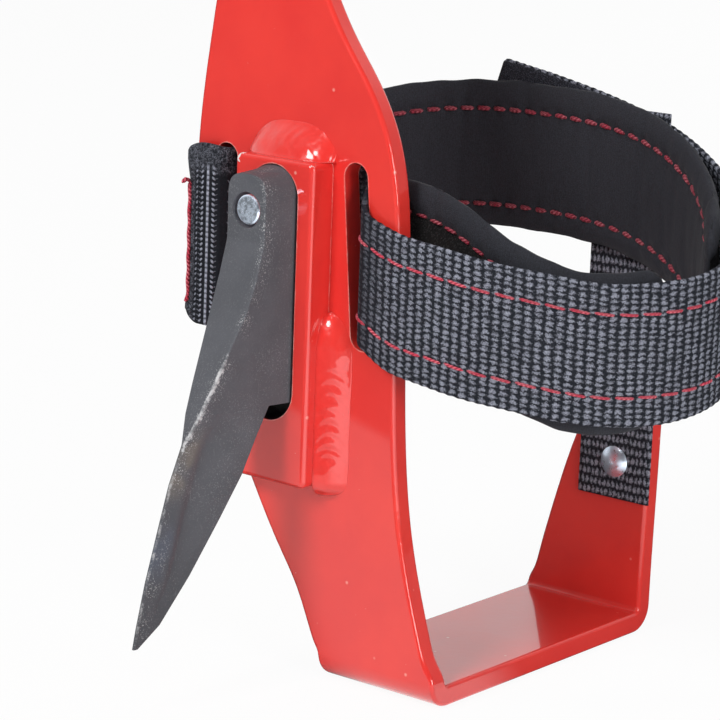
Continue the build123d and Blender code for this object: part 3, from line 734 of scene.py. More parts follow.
def paint_finish(metal, name, welded):
    """Gloss red paint with orange peel, slow runs and dust specks, and on the iron paler edges of thin paint
    with a painted highlight; the foot of the gaff's pocket is painted shade, near black.
    """
    web, shader = new_finish(name)
    place = web.object_place()
    grain = web.group("Fine grain", Place=place, Fine=420.0, Slow=34.0)
    dust = web.group("Specks", Place=place, Scale=190.0, Share=0.16, Size=0.12)["Mask"]
    inside = in_pocket(web, place)
    tone = web.mix(web.span(grain["Tone"], 0.35, 0.7), metal.paint_deep, metal.paint)
    tone = web.mix(dust * 0.75, tone, DUST)
    tone = web.mix(chipped(web, place), tone, CHIP)
    slow = web.bump(grain["Tone"], 0.10, 0.0012)
    if welded:
        slow = web.bump(web.noise(place, 190.0), 0.5, 0.0016, slow)
    else:
        # Paler edges of the iron: thin paint and a painted highlight.
        tone = web.mix(worn_edge_and_painted_highlight(web, place), tone, THIN_PAINT_AND_HIGHLIGHT)
    web.feed(shader, {
        # Painted shade, near black and without coat, in the foot of the gaff's pocket.
        "Base Color": web.mix(inside, tone, PAINTED_POCKET_SHADE),
        "Roughness": web.span(grain["Tone"], 0.3, 0.7, 0.28, 0.36),
        "Specular IOR Level": 0.2,
        "Coat Weight": 1.0 - inside,
        "Coat Roughness": 0.03,
        "Normal": web.bump(grain["Height"] + dust, 0.05, 0.0004, slow),
    })


def worn_steel(web, place, height, ridge):
    """Bright wear on the gaff's ridge, strongest round its step, with streaks along the keel below that are
    wear and a painted highlight on its edge.
    """
    ragged = web.noise(place, 900.0, 3.0, 0.8) * 1.4 - 0.70
    tip = web.band(height, 0.117, 0.122, 0.129, 0.133)
    rubbed = tip * 0.30 + web.band(height, 0.060, 0.068, 0.082, 0.094)
    worn = web.span(web.math("POWER", ridge, 3.0) * (rubbed * 0.55 + 0.34) + ragged, 0.50, 0.74)
    worn = worn * web.patches(place, (420.0, 3.0, 0.7), 0.36, 0.60, 0.15, 1.0)
    # Keel streaks: wear, and a painted highlight along the keel's edge.
    keel = web.span(ridge, 0.93, 0.99) * web.span(height, 0.062, 0.056)
    return web.most(worn, keel * web.patches(place, (330.0, 3.0, 0.7), 0.44, 0.68, 0.0, 0.55))


def steel_finish(metal):
    """Dark forged steel: fine scale, bright grit in patches, drawn scratches, heat tints and a worn ridge."""
    web, shader = new_finish("dark forged steel")
    place = web.object_place()
    _, _, height = web.split(place)
    ridge = web.value("Attribute", output="Fac", attribute_name="ridge")
    grain = web.group("Fine grain", Place=place, Fine=1500.0, Slow=110.0)
    drawn = web.value("Mapping", {"Vector": place, "Scale": (1.0, 0.45, 0.10), "Rotation": (0.42, 0.0, 0.0)})
    scratch = web.patches(drawn, (2600.0, 2.0, 0.6), 0.62, 0.80)
    cluster = web.patches(place, (150.0, 3.0, 0.6), 0.41, 0.58) * web.span(ridge, 0.30, 0.75)
    near = cluster * 1.1 + web.patches(place, (60.0, 2.0), 0.40, 0.64, 0.25, 1.0) * 0.30
    grit = web.patches(place, (2400.0, 2.0, 0.6), 0.55, 0.68) * near
    worn = worn_steel(web, place, height, ridge)
    strip = web.span(ridge, 0.22, 0.55)
    brown = web.band(height, 0.049, 0.056, 0.063, 0.071) * strip
    brown = brown * web.patches(place, (130.0, 2.0), 0.3, 0.6)
    blue = web.band(height, 0.027, 0.035, 0.040, 0.048) * strip
    blue = blue * web.patches(place, (110.0, 1.0), 0.3, 0.6)
    tone = web.mix(web.span(grain["Tone"], 0.3, 0.7), toned(metal.steel, 0.86), metal.steel)
    tone = web.mix(web.span(height, 0.078, 0.010, 0.0, 0.62), tone, toned(metal.steel, 0.5))
    tints = ((brown * 0.60, BROWN_HEAT), (blue * 0.45, BLUE_HEAT), (scratch * 0.16, SCRATCH),
             (grit * 0.60, GRIT), (worn * 0.95, metal.steel_worn))
    for mask, tint in tints:
        tone = web.mix(mask, tone, tint)
    slow = web.bump(grain["Tone"], 0.10, 0.0006)
    web.feed(shader, {
        "Base Color": tone,
        "Metallic": 0.05,
        "Specular IOR Level": 0.3,
        "Roughness": worn * -0.16 + web.span(grain["Height"], 0.3, 0.7, 0.56, 0.68),
        "Normal": web.bump(grain["Height"] + scratch, 0.14, 0.0002, slow),
    })


def zinc_finish(metal):
    """Bright zinc plate, duller and mottled on the gaff screw's tip."""
    web, shader = new_finish("zinc plate")
    place = web.object_place()
    grain = web.group("Fine grain", Place=place, Fine=2200.0, Slow=900.0)
    x, _, z = web.split(place)
    aside = x - BLOCK_X * MM
    above = z - SCREW_Z * MM
    rim = web.span(web.math("SQRT", aside * aside + above * above), 0.0031, 0.0036)
    cast = web.mix(web.span(grain["Tone"], 0.40, 0.58), toned(metal.zinc, 0.45), metal.zinc)
    web.feed(shader, {
        "Base Color": web.mix(rim, cast, toned(metal.zinc, 1.25)),
        "Metallic": web.span(rim, 0.0, 1.0, 0.55, 0.85),
        "Roughness": web.span(grain["Tone"], 0.3, 0.7, 0.38, 0.26),
        "Normal": web.bump(grain["Height"], 0.12, 0.0001),
    })


def plastic_finish():
    """Black moulded plastic with a fine grain."""
    web, shader = new_finish("black moulded plastic")
    grain = web.group("Fine grain", Place=web.object_place(), Fine=1400.0, Slow=45.0)
    web.feed(shader, {
        "Base Color": web.mix(grain["Tone"], *PLASTIC),
        "Roughness": web.span(grain["Tone"], 0.3, 0.7, 0.42, 0.52),
        "Normal": web.bump(grain["Height"], 0.25, 0.00015),
    })


def webbing_finish(cloth):
    """Coarse charcoal webbing: uneven yarn lumps with painted grey glints, and painted shade where it dips
    into the toe slot.
    """
    web, shader = new_finish("charcoal webbing")
    weave = web.group("Webbing weave", Cloth=web.cloth_place(), Column=cloth.column / MM, Row=cloth.row / MM)
    place = web.object_place()
    grain = web.group("Fine grain", Place=place, Fine=3200.0, Slow=55.0)
    fibre = web.mix(web.span(grain["Height"], 0.35, 0.65), toned(cloth.yarn, 0.6), cloth.yarn)
    slot = (SLOT_AT[0] * MM, behind(SLOT_AT[1]) * MM, 0.0)
    floor_place = web.value("VectorMath", {0: place, 1: (1.0, 1.0, 0.0)}, operation="MULTIPLY")
    # Painted shade on the webbing near the toe slot, where it dips in.
    painted_slot_shade = web.span(web.distance(floor_place, slot), 0.003, 0.016, 0.12, 1.0)
    web.feed(shader, {
        "Base Color": web.mix(weave["Yarn and painted glint"] * painted_slot_shade, cloth.yarn_gap, fibre),
        "Roughness": weave["Yarn and painted glint"] * -0.25 + 0.85,
        "Specular IOR Level": 0.2,
        "Normal": web.bump(grain["Height"] * 0.12 + weave["Height"], 0.9, 0.0006),
    })


def yarn_dots(web, across, along, spot, size, pitch, lean):
    """Row of slanted yarn dots along a strap, at one distance across it."""
    wide, tall = size
    aside = across - spot
    turn = aside * lean + along / pitch
    apart = (web.math("FRACT", turn) - 0.5) * (pitch / tall)
    aside = aside / wide
    return web.span(aside * aside + apart * apart, 1.15, 0.15)


def loop_finish(cloth):
    """Heel loop: fuzzy charcoal cloth with yarn dots on both sides of a bright spine, dots and spine in
    painted glints.
    """
    web, shader = new_finish("herringbone webbing")
    place = web.cloth_place()
    pitch = 1.44
    across, along, _ = web.split(place)
    grain = web.group("Fine grain", Place=web.object_place(), Fine=2600.0, Slow=900.0)
    along = along + (web.noise(place, 0.9) * 0.7 - 0.35)
    aside = abs(across)
    below = web.span(along, 21.0, 18.0)
    lumps = yarn_dots(web, aside, along, 1.95, (0.62, 0.50), pitch, 0.30)
    tails = yarn_dots(web, aside, along, 2.7, (0.50, 0.22), pitch, -0.35)
    lone = yarn_dots(web, across, along, -5.7, (0.55, 0.42), 2 * pitch, -0.30)
    second = yarn_dots(web, across, along, 4.0, (0.55, 0.45), pitch, 0.30)
    for faint in (tails * 0.35, lone * 0.4, second * 0.65):
        lumps = web.most(lumps, faint)
    lumps = lumps * (web.patches(place, (0.7, 2.0), 0.3, 0.7, 0.55, 1.0) * below)
    beads = abs(web.math("SINE", along * (math.pi / pitch)))
    spine = web.span(aside, 0.66, 0.30) * (beads * 0.8 + 0.2) * below
    hair = web.span(grain["Height"], 0.35, 0.7) * web.span(grain["Tone"], 0.3, 0.65)
    bushy = web.most(web.span(across, 4.2, 5.4), web.span(along, 17.0, 20.5))
    fuzz = hair * (bushy * 0.96 + 0.04)
    # Dots and spine take the yarn colour with its painted glints.
    bright = toned(cloth.yarn, 0.95)
    tone = web.mix(fuzz, toned(cloth.yarn_gap, 0.6), toned(cloth.yarn, 0.46))
    web.feed(shader, {
        "Base Color": web.mix(spine, web.mix(lumps, tone, bright), bright),
        "Roughness": lumps * -0.25 + 0.80,
        "Specular IOR Level": 0.15,
        "Sheen Weight": 0.03,
        "Normal": web.bump(fuzz * 0.5 + lumps + spine, 0.9, 0.0005),
    })


def pad_finish(cloth):
    """Smooth black pad cloth with a faint close weave."""
    web, shader = new_finish("black pad cloth")
    grain = web.group("Fine grain", Place=web.object_place(), Fine=1900.0, Slow=42.0)
    weave = web.group("Webbing weave", Cloth=web.cloth_place(), Column=0.62, Row=0.5)
    tone = weave["Height"] * 0.5 + web.span(grain["Height"], 0.35, 0.65, 0.0, 0.6)
    web.feed(shader, {
        "Base Color": web.mix(tone, toned(cloth.pad, 0.7), toned(cloth.pad, 1.7)),
        "Roughness": web.span(grain["Height"], 0.3, 0.7, 0.72, 0.84),
        "Specular IOR Level": 0.3,
        "Sheen Weight": 0.06,
        "Sheen Roughness": 0.35,
        "Normal": web.bump(weave["Height"] * 0.6 + grain["Height"], 0.55, 0.00022),
    })


def pile_finish(name, colour, scale):
    """Short black loop pile or hook tape."""
    web, shader = new_finish(name)
    place = web.object_place()
    loops = web.value("TexVoronoi", {"Vector": place, "Scale": scale}, "Distance")
    grain = web.group("Fine grain", Place=place, Fine=2400.0, Slow=160.0)
    tip = web.span(loops, 0.55, 0.1)
    web.feed(shader, {
        "Base Color": web.mix(tip, toned(colour, 0.4), toned(colour, 1.6)),
        "Roughness": web.span(grain["Tone"], 0.3, 0.7, 0.82, 0.95),
        "Specular IOR Level": 0.2,
        "Sheen Weight": 0.05,
        "Normal": web.bump(tip * 0.8 + grain["Height"], 0.7, 0.0005),
    })


def thread_finish(name, colour):
    """Red two-ply sewing thread, with painted shade between the plies and painted pinkish glints on their
    crowns.
    """
    web, shader = new_finish(name)
    along, turn, _ = web.split(web.cloth_place())
    ply = abs(web.math("SINE", (along * 0.85 + turn * 2.0) * math.pi))
    grain = web.group("Fine grain", Place=web.object_place(), Fine=4000.0, Slow=300.0)
    # Painted pinkish glints on the plies' crowns, and painted shade between them.
    painted_shine = [c + 0.30 * colour[0] for c in colour]
    tone = web.mix(web.span(ply, 0.1, 0.8), toned(colour, 0.45), colour)
    painted_glint = web.span(ply, 0.70, 1.0) * web.span(grain["Tone"], 0.35, 0.65)
    web.feed(shader, {
        "Base Color": web.mix(painted_glint, tone, painted_shine),
        "Roughness": web.span(grain["Tone"], 0.3, 0.7, 0.42, 0.58),
        "Sheen Weight": 0.05,
        "Normal": web.bump(grain["Height"] * 0.2 + ply, 0.8, 0.0003),
    })


def mixed(name):
    """A finish that is already made."""
    found = bpy.data.materials.get(name)
    if found is None:
        raise RuntimeError(f"the finish {name} isn't made yet: run Mix finishes first")
    return found


def finish_nodes(nodes, name):
    """Give CAD nodes a finish."""
    for node in nodes:
        data = NODES[node].data
        data.materials.clear()
        data.materials.append(mixed(name))


def strap_section(width, thickness, samples=18):
    """Out and rise of points round a strap's rounded section, from the foot of its outer face."""
    half = thickness / 2
    rise = np.linspace(-width / 2 + half, width / 2 - half, samples)
    turn = np.linspace(0, math.pi, 7)[1:-1]
    top = rise[-1]
    face = np.full(samples, half)
    edge = half * np.cos(turn)
    out = np.concatenate((face, edge, -face, -edge))
    up = np.concatenate((rise, top + half * np.sin(turn), rise[::-1], -top - half * np.sin(turn)))
    return out, up


def strap_shape(route, width, thickness, column, seed, start=0.0, fit=None, scallop=0.11):
    """Webbing along a route: thin, ribbed by its weave and a little uneven."""
    rib_height = 0.07
    face_wander = 0.12
    edge_wander = 0.15
    out, up = strap_section(width, thickness)
    distance = route.marks[:, None]
    up = up[None, :]
    border = width / 2 - thickness / 2 + 0.01
    side = np.sign(out)[None, :] * (np.abs(up) < border)
    edge = np.sign(up) * (np.abs(up) > border)
    rib = np.cos(2 * math.pi * distance / column)
    wave = soft_noise(distance, up * 0.4, 11.0, seed)
    drift = soft_noise(distance, 0.0, 14.0, seed + 5)
    offset = out[None, :] + rib_height * rib * side + face_wander * wave
    rise = up + scallop * rib * edge + edge_wander * drift * np.sign(up)
    along = distance + 0.0 * up
    if fit is not None:
        along, rise = fit(along, rise)
    rings = route.place(along, offset, rise)
    cloth = np.stack(np.broadcast_arrays(along - start, rise), axis=-1)
    shape = Shape()
    shape.add_rings(rings, cloth)
    return shape


def slant_tail(route, distance, rise):
    """Distances along a strap with the top corner of its tail cut on a slant."""
    end = ramp(distance, route.length - TAIL_CUT, route.length)
    return distance - TAIL_SLANT * np.clip(rise - TAIL_CORNER, 0, None) * end


def sew_row(shape, route, start, stop, rise, out, sizes, slant=0.35, fit=None):
    """Add a row of stitches along a route, standing on a face that is out from its line."""
    pitch, length, radius = (size / MM for size in sizes)
    share = np.linspace(0, 1, 7)
    lift = np.array([-0.9, 0.05, 0.42, 0.52, 0.42, 0.05, -0.9]) * radius
    side = math.copysign(1.0, out)
    for first in np.arange(start, stop - length, pitch):
        distance = first + share * length
        height = rise + slant * (0.5 - share)
        if fit is not None:
            distance, height = fit(distance, height)
        shape.add_tube(route.place(distance, out + side * lift, height), radius)


def strap_stitches(cloth):
    """Pitch, length and radius of the stitches on the straps."""
    return cloth.stitch_pitch, cloth.stitch_length, cloth.thread_radius


def pad_profile(edge, rows, half_t, row_t):
    """Rises over a pad's section from its foot to its top, with the half thickness at each."""
    low, high = rows
    share = np.array([0.05, 0.12, 0.22, 0.35, 0.5, 0.64, 0.77, 0.88, 0.95, 0.99])
    roll = 0.92 * half_t * np.sqrt(1 - share ** 2.4)
    ease = ramp(share, 0, 0.32) ** 0.8
    roll = row_t * (1 - ease) + roll * ease
    middle = np.linspace(-1, 1, 23)
    crown = row_t + (half_t - row_t) * (1 - middle ** 2) ** 0.75
    foot = low - (edge + low) * share
    top = high + (edge - high) * share
    centre = (low + high) / 2 + (high - low) / 2 * middle
    return np.concatenate((foot[::-1], centre, top)), np.concatenate((roll[::-1], crown, roll))


def pad_shape(route, sizes, pitch, seed, pile=False):
    """Padded band along a route, drawn in along its sewn rows and closed at its ends."""
    edge, rows, half_t, row_t = sizes
    corner = 0.35
    hem = 0.2
    rise, half = pad_profile(edge, rows, half_t, row_t)
    count = len(rise)
    up = np.concatenate((rise, rise[::-1]))[None, :]
    side = np.concatenate((np.ones(count), -np.ones(count)))[None, :]
    thick = np.concatenate((half, half[::-1]))[None, :]
    to_edge = np.abs(up) / edge
    distance = route.marks[:, None]
    to_end = np.minimum(distance, route.length - distance)
    close = quarter_round(np.clip(to_end / (2 * half_t), 0.02, 1))
    cut = 1 - quarter_round(np.clip(to_end / (corner * edge), 0, 1))
    shrink = 1 - corner * cut * to_edge ** 3
    to_row = np.minimum(np.abs(up - rows[0]), np.abs(up - rows[1]))
    near_row = np.exp(-(to_row / (0.16 * rows[1])) ** 2)
    pucker = 0.5 + 0.5 * np.cos(2 * math.pi * distance / pitch)
    swell = 1 + near_row * (0.16 - 0.42 * pucker)
    lumps = soft_noise(distance, up * 0.35, 9.0, seed)
    creases = np.minimum(soft_noise(distance, up * 0.12, 5.0, seed + 11), 0.0)
    slow = soft_noise(distance, up * 0.2, 26.0, seed + 3)
    puffed = thick * swell + 0.10 * half_t * lumps + 0.9 * creases * (1 - near_row)
    out = side * close * puffed + 0.30 * slow
    wobble = 0.45 * soft_noise(distance, np.sign(up) * 40.0, 7.0, seed + 7)
    rings = route.place(distance, out, up * shrink + wobble * to_edge ** 4)
    cloth = np.stack(np.broadcast_arrays(distance, up), axis=-1)
    finish = None
    if pile:
        finish = ((side > 0) & (up > rows[0] + hem) & (up < rows[1] - hem))[0]
    shape = Shape()
    shape.add_rings(rings, cloth, finish)
    return shape


def bead_shape(metal, seed, start, along, up, length, legs, tapers, bulge):
    """Weld bead in the corner between the shank's face and the block, with faint crescent ripples."""
    start, along, up = (np.array(v, float) for v in (start, along, up))
    out = np.array([0.0, -1.0, 0.0])
    leg, depth = legs
    t = np.linspace(0, 1, 27)
    spacing = 0.3
    flare = 1.3
    toe_in = -0.15
    sunk = 0.4
    bow = (4 * t * (1 - t)) ** 1.5
    pitch = metal.ripple_pitch / MM
    height = metal.ripple_height / MM
    slope = math.hypot(leg, depth)
    rings = []
    for distance in np.linspace(0, length, max(30, int(length / spacing))):
        first = quarter_round(np.clip(distance / tapers[0], 0.02, 1.0))
        last = quarter_round(np.clip((length - distance) / tapers[1], 0.02, 1.0))
        full = first * last
        lumps = np.array([noise.noise(Vector((distance / 6.0, 1.6 * share, seed))) for share in t])
        wander = noise.noise(Vector((distance / 9.0, 4.7, seed)))
        gate = np.clip(0.5 + 2.5 * noise.noise(Vector((distance / 14.0, 9.1, seed))), 0.0, 1.0)
        phase = distance / pitch + 1.1 * bow + 0.8 * wander
        ripple = height * gate * np.sin(2 * math.pi * phase)
        swell = full * bow * (bulge + 0.35 * lumps + ripple)
        p = leg * full * (1 + 0.08 * wander) * (1 - t) ** flare + swell * depth / slope
        q = depth * full * t ** flare + swell * leg / slope
        p[-1] = toe_in
        q[0] = toe_in
        spot = start + along * distance
        face = spot + p[:, None] * up + q[:, None] * out
        corner = spot - sunk * up - sunk * out
        rings.append(np.concatenate((face, corner[None, :])))
    shape = Shape()
    shape.add_rings(np.array(rings))
    return shape


def level(rows, z, column):
    """A value of the gaff's rows at a height."""
    rows = np.array(rows, float)
    return float(np.interp(z, rows[:, 0], rows[:, column]))


def rounded_corner(previous, corner, following, radius, samples=5):
    """Points round one corner of a section."""
    corner = np.array(corner, float)
    ends = []
    for other in (previous, following):
        side = np.array(other, float) - corner
        reach = np.linalg.norm(side)
        ends.append(corner + side / max(reach, 1e-6) * min(radius, 0.45 * reach))
    t = np.linspace(0, 1, samples)[:, None]
    return ends[0] * (1 - t) ** 2 + 2 * corner * t * (1 - t) + ends[1] * t ** 2


def gaff_ring(z, corners, groove=(0.0, 0.5)):
    """One level of the gaff, from half a section: rounded corners, and a groove along each flank."""
    depth, spot = groove
    whole = corners + [(-x, d) for x, d in reversed(corners)]
    count = len(whole)
    bends = []
    for i, corner in enumerate(whole):
        bends.append(rounded_corner(whole[i - 1], corner, whole[(i + 1) % count], GAFF_EDGE_R))
    wear = {0: FLANK_WEAR, count - 1: FRONT_WEAR}
    points = []
    ridge = []
    for i, bend in enumerate(bends):
        points.extend(bend)
        ridge.extend([1.0 if i == 0 else 0.0] * len(bend))
        step = bends[(i + 1) % count][0] - bend[-1]
        run = np.linalg.norm(step)
        normal = np.array([-step[1], step[0]]) / max(run, 1e-6)
        flank = i in (0, count - 2)
        for share in np.linspace(0, 1, 33 if flank else 17)[1:-1]:
            from_front = share if i == 0 else 1 - share
            wide = GROOVE_WIDTHS[0] if from_front < spot else GROOVE_WIDTHS[1]
            dent = depth * math.exp(-((from_front - spot) / wide) ** 2) if flank else 0.0
            points.append(bend[-1] + step * share - normal * dent)
            ridge.append(math.exp(-run * from_front / wear[i]) if i in wear else 0.0)
    ring = [(BLOCK_X + x, FACE_Y - d, z) for x, d in points]
    return ring, ridge


def arch_half(half, top, z, power):
    """Half width of an arched top at a height."""
    over = ramp(z, top - half, top)
    return half * (1 - over ** power) ** (1 / power)


def tang_corners(z):
    """Half a section of the tang at a height: front, shoulder and rear."""
    front = level(TANG_ROWS, z, 1)
    wide = max(arch_half(TANG_HALF, TANG_TOP, z, 2.3), 0.5)
    if z > FRONT_TOP:
        front -= (front - BLOCK_DEPTH) * (z - FRONT_TOP) / (TANG_TOP - FRONT_TOP) * 0.98
    narrow = max(arch_half(level(TANG_ROWS, z, 2), FRONT_TOP, z, 3.0), 0.3)
    return [(min(narrow, wide), front), (wide, BLOCK_DEPTH), (wide, 0.0)]


def spike_corners(z):
    """Half a section of the spike at a height: front and rear, drawn in where it enters the tang."""
    front, half, rear, rear_half = (level(SPIKE_ROWS, z, k) for k in (1, 2, 3, 4))
    inset = 0.25 if z > GAFF_STEP else 0.0
    return [(half - inset, front - inset), (rear_half - inset, rear + inset)]


def spike_groove(z):
    """Depth of the spike's groove at a height, and its place on the flank."""
    depth = GROOVE_DEPTH * ramp(z, GAFF_STEP, GAFF_STEP - 10.0) * ramp(z, 20.0, 40.0)
    return depth, float(np.interp(z, GROOVE_HEIGHTS, GROOVE_SPOTS))


def dish(points):
    """Sink the tang's front a little round the screw."""
    radius = 5.6
    depth = 0.2
    x, y, z = points.T
    near = np.exp(-((x - BLOCK_X) ** 2 + (z - SCREW_Z) ** 2) / radius ** 2)
    points[:, 1] = y + depth * near * ramp(FACE_Y - y, 14.0, 18.0)
    return points


def gaff_shape():
    """The gaff as a tang above the step and a keeled spike below it, with its ridge marked."""
    arch_end = TANG_TOP - 0.01
    arch = ARCH_LOW + (arch_end - ARCH_LOW) * np.sin(np.linspace(0, math.pi / 2, 44))
    tang_heights = np.concatenate((np.linspace(GAFF_STEP, ARCH_LOW - 0.4, 76), arch))
    tang = [gaff_ring(z, tang_corners(z)) for z in tang_heights]
    spike_heights = np.concatenate((np.linspace(SPIKE_ROWS[0][0], GAFF_STEP, 90), [GAFF_STEP + 0.6]))
    spike = [gaff_ring(z, spike_corners(z), spike_groove(z)) for z in spike_heights]
    shape = Shape()
    shape.add_rings(np.array([ring for ring, _ in tang]))
    shape.bend(dish)
    shape.add_rings(np.array([ring for ring, _ in spike]))
    marks = [mark for _, ridge in tang + spike for mark in ridge]
    return shape, marks


def cut_away(piece, cutter):
    """Cut one mesh out of another."""
    modifier = piece.modifiers.new("cut", "BOOLEAN")
    modifier.object = cutter
    modifier.operation = "DIFFERENCE"
    modifier.solver = "EXACT"
    made = bpy.data.meshes.new_from_object(piece.evaluated_get(bpy.context.evaluated_depsgraph_get()))
    piece.modifiers.clear()
    old = piece.data
    piece.data = made
    bpy.data.meshes.remove(old)
    bpy.data.objects.remove(cutter)


class SPIKE_OT_mix_finishes(bpy.types.Operator):
    """Make the shared effects and every finish"""

    bl_idname = "spike.mix_finishes"
    bl_label = "Mix finishes"

    def execute(self, context):
        metal = context.scene.spike_metal
        cloth = context.scene.spike_cloth
        weave_group()
        grain_group()
        speck_group()
        paint_finish(metal, "red gloss paint", False)
        paint_finish(metal, "painted weld", True)
        steel_finish(metal)
        zinc_finish(metal)
        plastic_finish()
        webbing_finish(cloth)
        loop_finish(cloth)
        pad_finish(cloth)
        pile_finish("loop pile", cloth.pile, 1500.0)
        pile_finish("hook tape", toned(cloth.pad, 3.4), 2600.0)
        thread_finish("red thread", cloth.thread)
        thread_finish("red thread in painted shade", cloth.thread_painted_shade)
        return {"FINISHED"}


class SPIKE_OT_paint_iron(bpy.types.Operator):
    """Paint the stirrup iron, the gaff's block and the calf bar"""

    bl_idname = "spike.paint_iron"
    bl_label = "Paint the iron"

    def execute(self, context):
        finish_nodes(("stirrup_iron", "gaff_block", "calf_bar"), "red gloss paint")
        return {"FINISHED"}


class SPIKE_OT_weld_beads(bpy.types.Operator):
    """Lay the rippled weld beads round the gaff's block"""

    bl_idname = "spike.weld_beads"
    bl_label = "Lay the weld beads"

    def execute(self, context):
        metal = context.scene.spike_metal
        toe = BLOCK_X + BLOCK_HALF
        heel = BLOCK_X - BLOCK_HALF
        beads = {
            "weld_top": dict(
                start=(heel - 1.2, FACE_Y, BLOCK_TOP), along=(1, 0, 0), up=(0, 0, 1), length=29.6,
                legs=(9.6, 6.4), tapers=(14.0, 11.0), bulge=1.2),
            "weld_toe_side": dict(
                start=(toe, FACE_Y, 97.4), along=(0, 0, -1), up=(1, 0, 0), length=51.0,
                legs=(8.8, 4.9), tapers=(12.0, 5.0), bulge=1.7),
            "weld_heel_side": dict(
                start=(heel, FACE_Y, 94.0), along=(0, 0, -1), up=(-1, 0, 0), length=45.2,
                legs=(5.4, 6.4), tapers=(9.0, 3.0), bulge=1.2),
        }
        for number, (node, run) in enumerate(beads.items()):
            shape = bead_shape(metal, number * 3.1, **run)
            piece = shape.make(node + "_bead", "stirrup", "red_paint", [mixed("painted weld")])
            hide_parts(node)
        return {"FINISHED"}


class SPIKE_OT_forge_gaff(bpy.types.Operator):
    """Forge the gaff with its keel, hollow flanks and screw hole"""

    bl_idname = "spike.forge_gaff"
    bl_label = "Forge the gaff"

    def execute(self, context):
        shape, marks = gaff_shape()
        piece = shape.make("gaff_forging", "stirrup", "forged_steel", [mixed("dark forged steel")])
        ridge = piece.data.attributes.new("ridge", "FLOAT", "POINT")
        ridge.data.foreach_set("value", marks)
        cutter = self.drill()
        context.view_layer.update()
        cut_away(piece, cutter)
        piece.data.polygons.foreach_set("use_smooth", [True] * len(piece.data.polygons))
        piece.data.set_sharp_from_angle(angle=math.radians(32))
        piece.visible_glossy = False
        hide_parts("gaff")
        return {"FINISHED"}

    def drill(self):
        """Round bar that cuts the screw's hole."""
        radius = SCREW_MOUTH_R * MM
        turn = Matrix.Rotation(math.radians(90), 4, "X")
        place = Matrix.Translation((BLOCK_X * MM, behind(-10.0) * MM, SCREW_Z * MM)) @ turn
        bar = bmesh.new()
        bmesh.ops.create_cone(
            bar, cap_ends=True, segments=64, radius1=radius, radius2=radius, depth=0.04, matrix=place)
        mesh = bpy.data.meshes.new("drill")
        bar.to_mesh(mesh)
        bar.free()
        return put("drill", mesh)


class SPIKE_OT_plate_fasteners(bpy.types.Operator):
    """Plate the screws, nuts, washers, rivets and wire ring"""

    bl_idname = "spike.plate_fasteners"
    bl_label = "Plate the fasteners"

    def execute(self, context):
        finish_nodes((
            "gaff_screw", "clamp_screws", "clamp_washers", "clamp_nuts", "pivot_screw", "pivot_nut",
            "tie_rivets", "cup_rivets", "calf_ring"), "zinc plate")
        return {"FINISHED"}


class SPIKE_OT_mould_cup(bpy.types.Operator):
    """Mould the calf cup and its spacer"""

    bl_idname = "spike.mould_cup"
    bl_label = "Mould the calf cup"

    def execute(self, context):
        finish_nodes(("calf_cup", "pivot_spacer"), "black moulded plastic")
        return {"FINISHED"}


class SPIKE_OT_fill_pads(bpy.types.Operator):
    """Sew and fill the ankle pad and the calf pad"""

    bl_idname = "spike.fill_pads"
    bl_label = "Fill the pads"

    def execute(self, context):
        cloth = context.scene.spike_cloth
        pitch = cloth.pad_pitch / MM
        finishes = [mixed("black pad cloth"), mixed("loop pile")]
        # Pad stitches take the red thread darkened as painted shade.
        red = [mixed("red thread in painted shade")]
        ankle = Route(in_frame(PAD_ROUTE), 1.2)
        piece = pad_shape(ankle, ANKLE_PAD, pitch, 2.0, pile=True).make(
            "ankle_pad_cover", "stirrup", "pad_cloth", finishes)
        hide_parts("ankle_pad")
        rows = self.sew(cloth, ankle, ANKLE_PAD[1], ((-1.32, 1.0), (1.32, 0.75)))
        rows.make("ankle_pad_thread", "stirrup", "red_thread", red)
        calf = Route(leg_arc(CALF_PAD_R, -CALF_PAD_HALF_ANGLE, CALF_PAD_HALF_ANGLE), 1.8)
        piece = pad_shape(calf, CALF_PAD, pitch, 9.0).make(
            "calf_pad_cover", "calf_cup", "pad_cloth", finishes[:1])
        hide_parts("calf_pad")
        rows = self.sew(cloth, calf, CALF_PAD[1], ((-2.4, 1.0), (2.4, 1.0)))
        rows.make("calf_pad_thread", "calf_cup", "red_thread", red)
        return {"FINISHED"}

    def sew(self, cloth, route, rises, faces):
        """Rows of stitches on both faces of a pad: each face's place and share of the thread's radius."""
        rows = Shape()
        for rise in rises:
            for out, share in faces:
                sizes = (cloth.pad_pitch, cloth.pad_length, share * cloth.pad_thread_radius)
                sew_row(rows, route, PAD_SEAM_END, route.length - PAD_SEAM_END, rise, out, sizes, PAD_SLANT)
        return rows


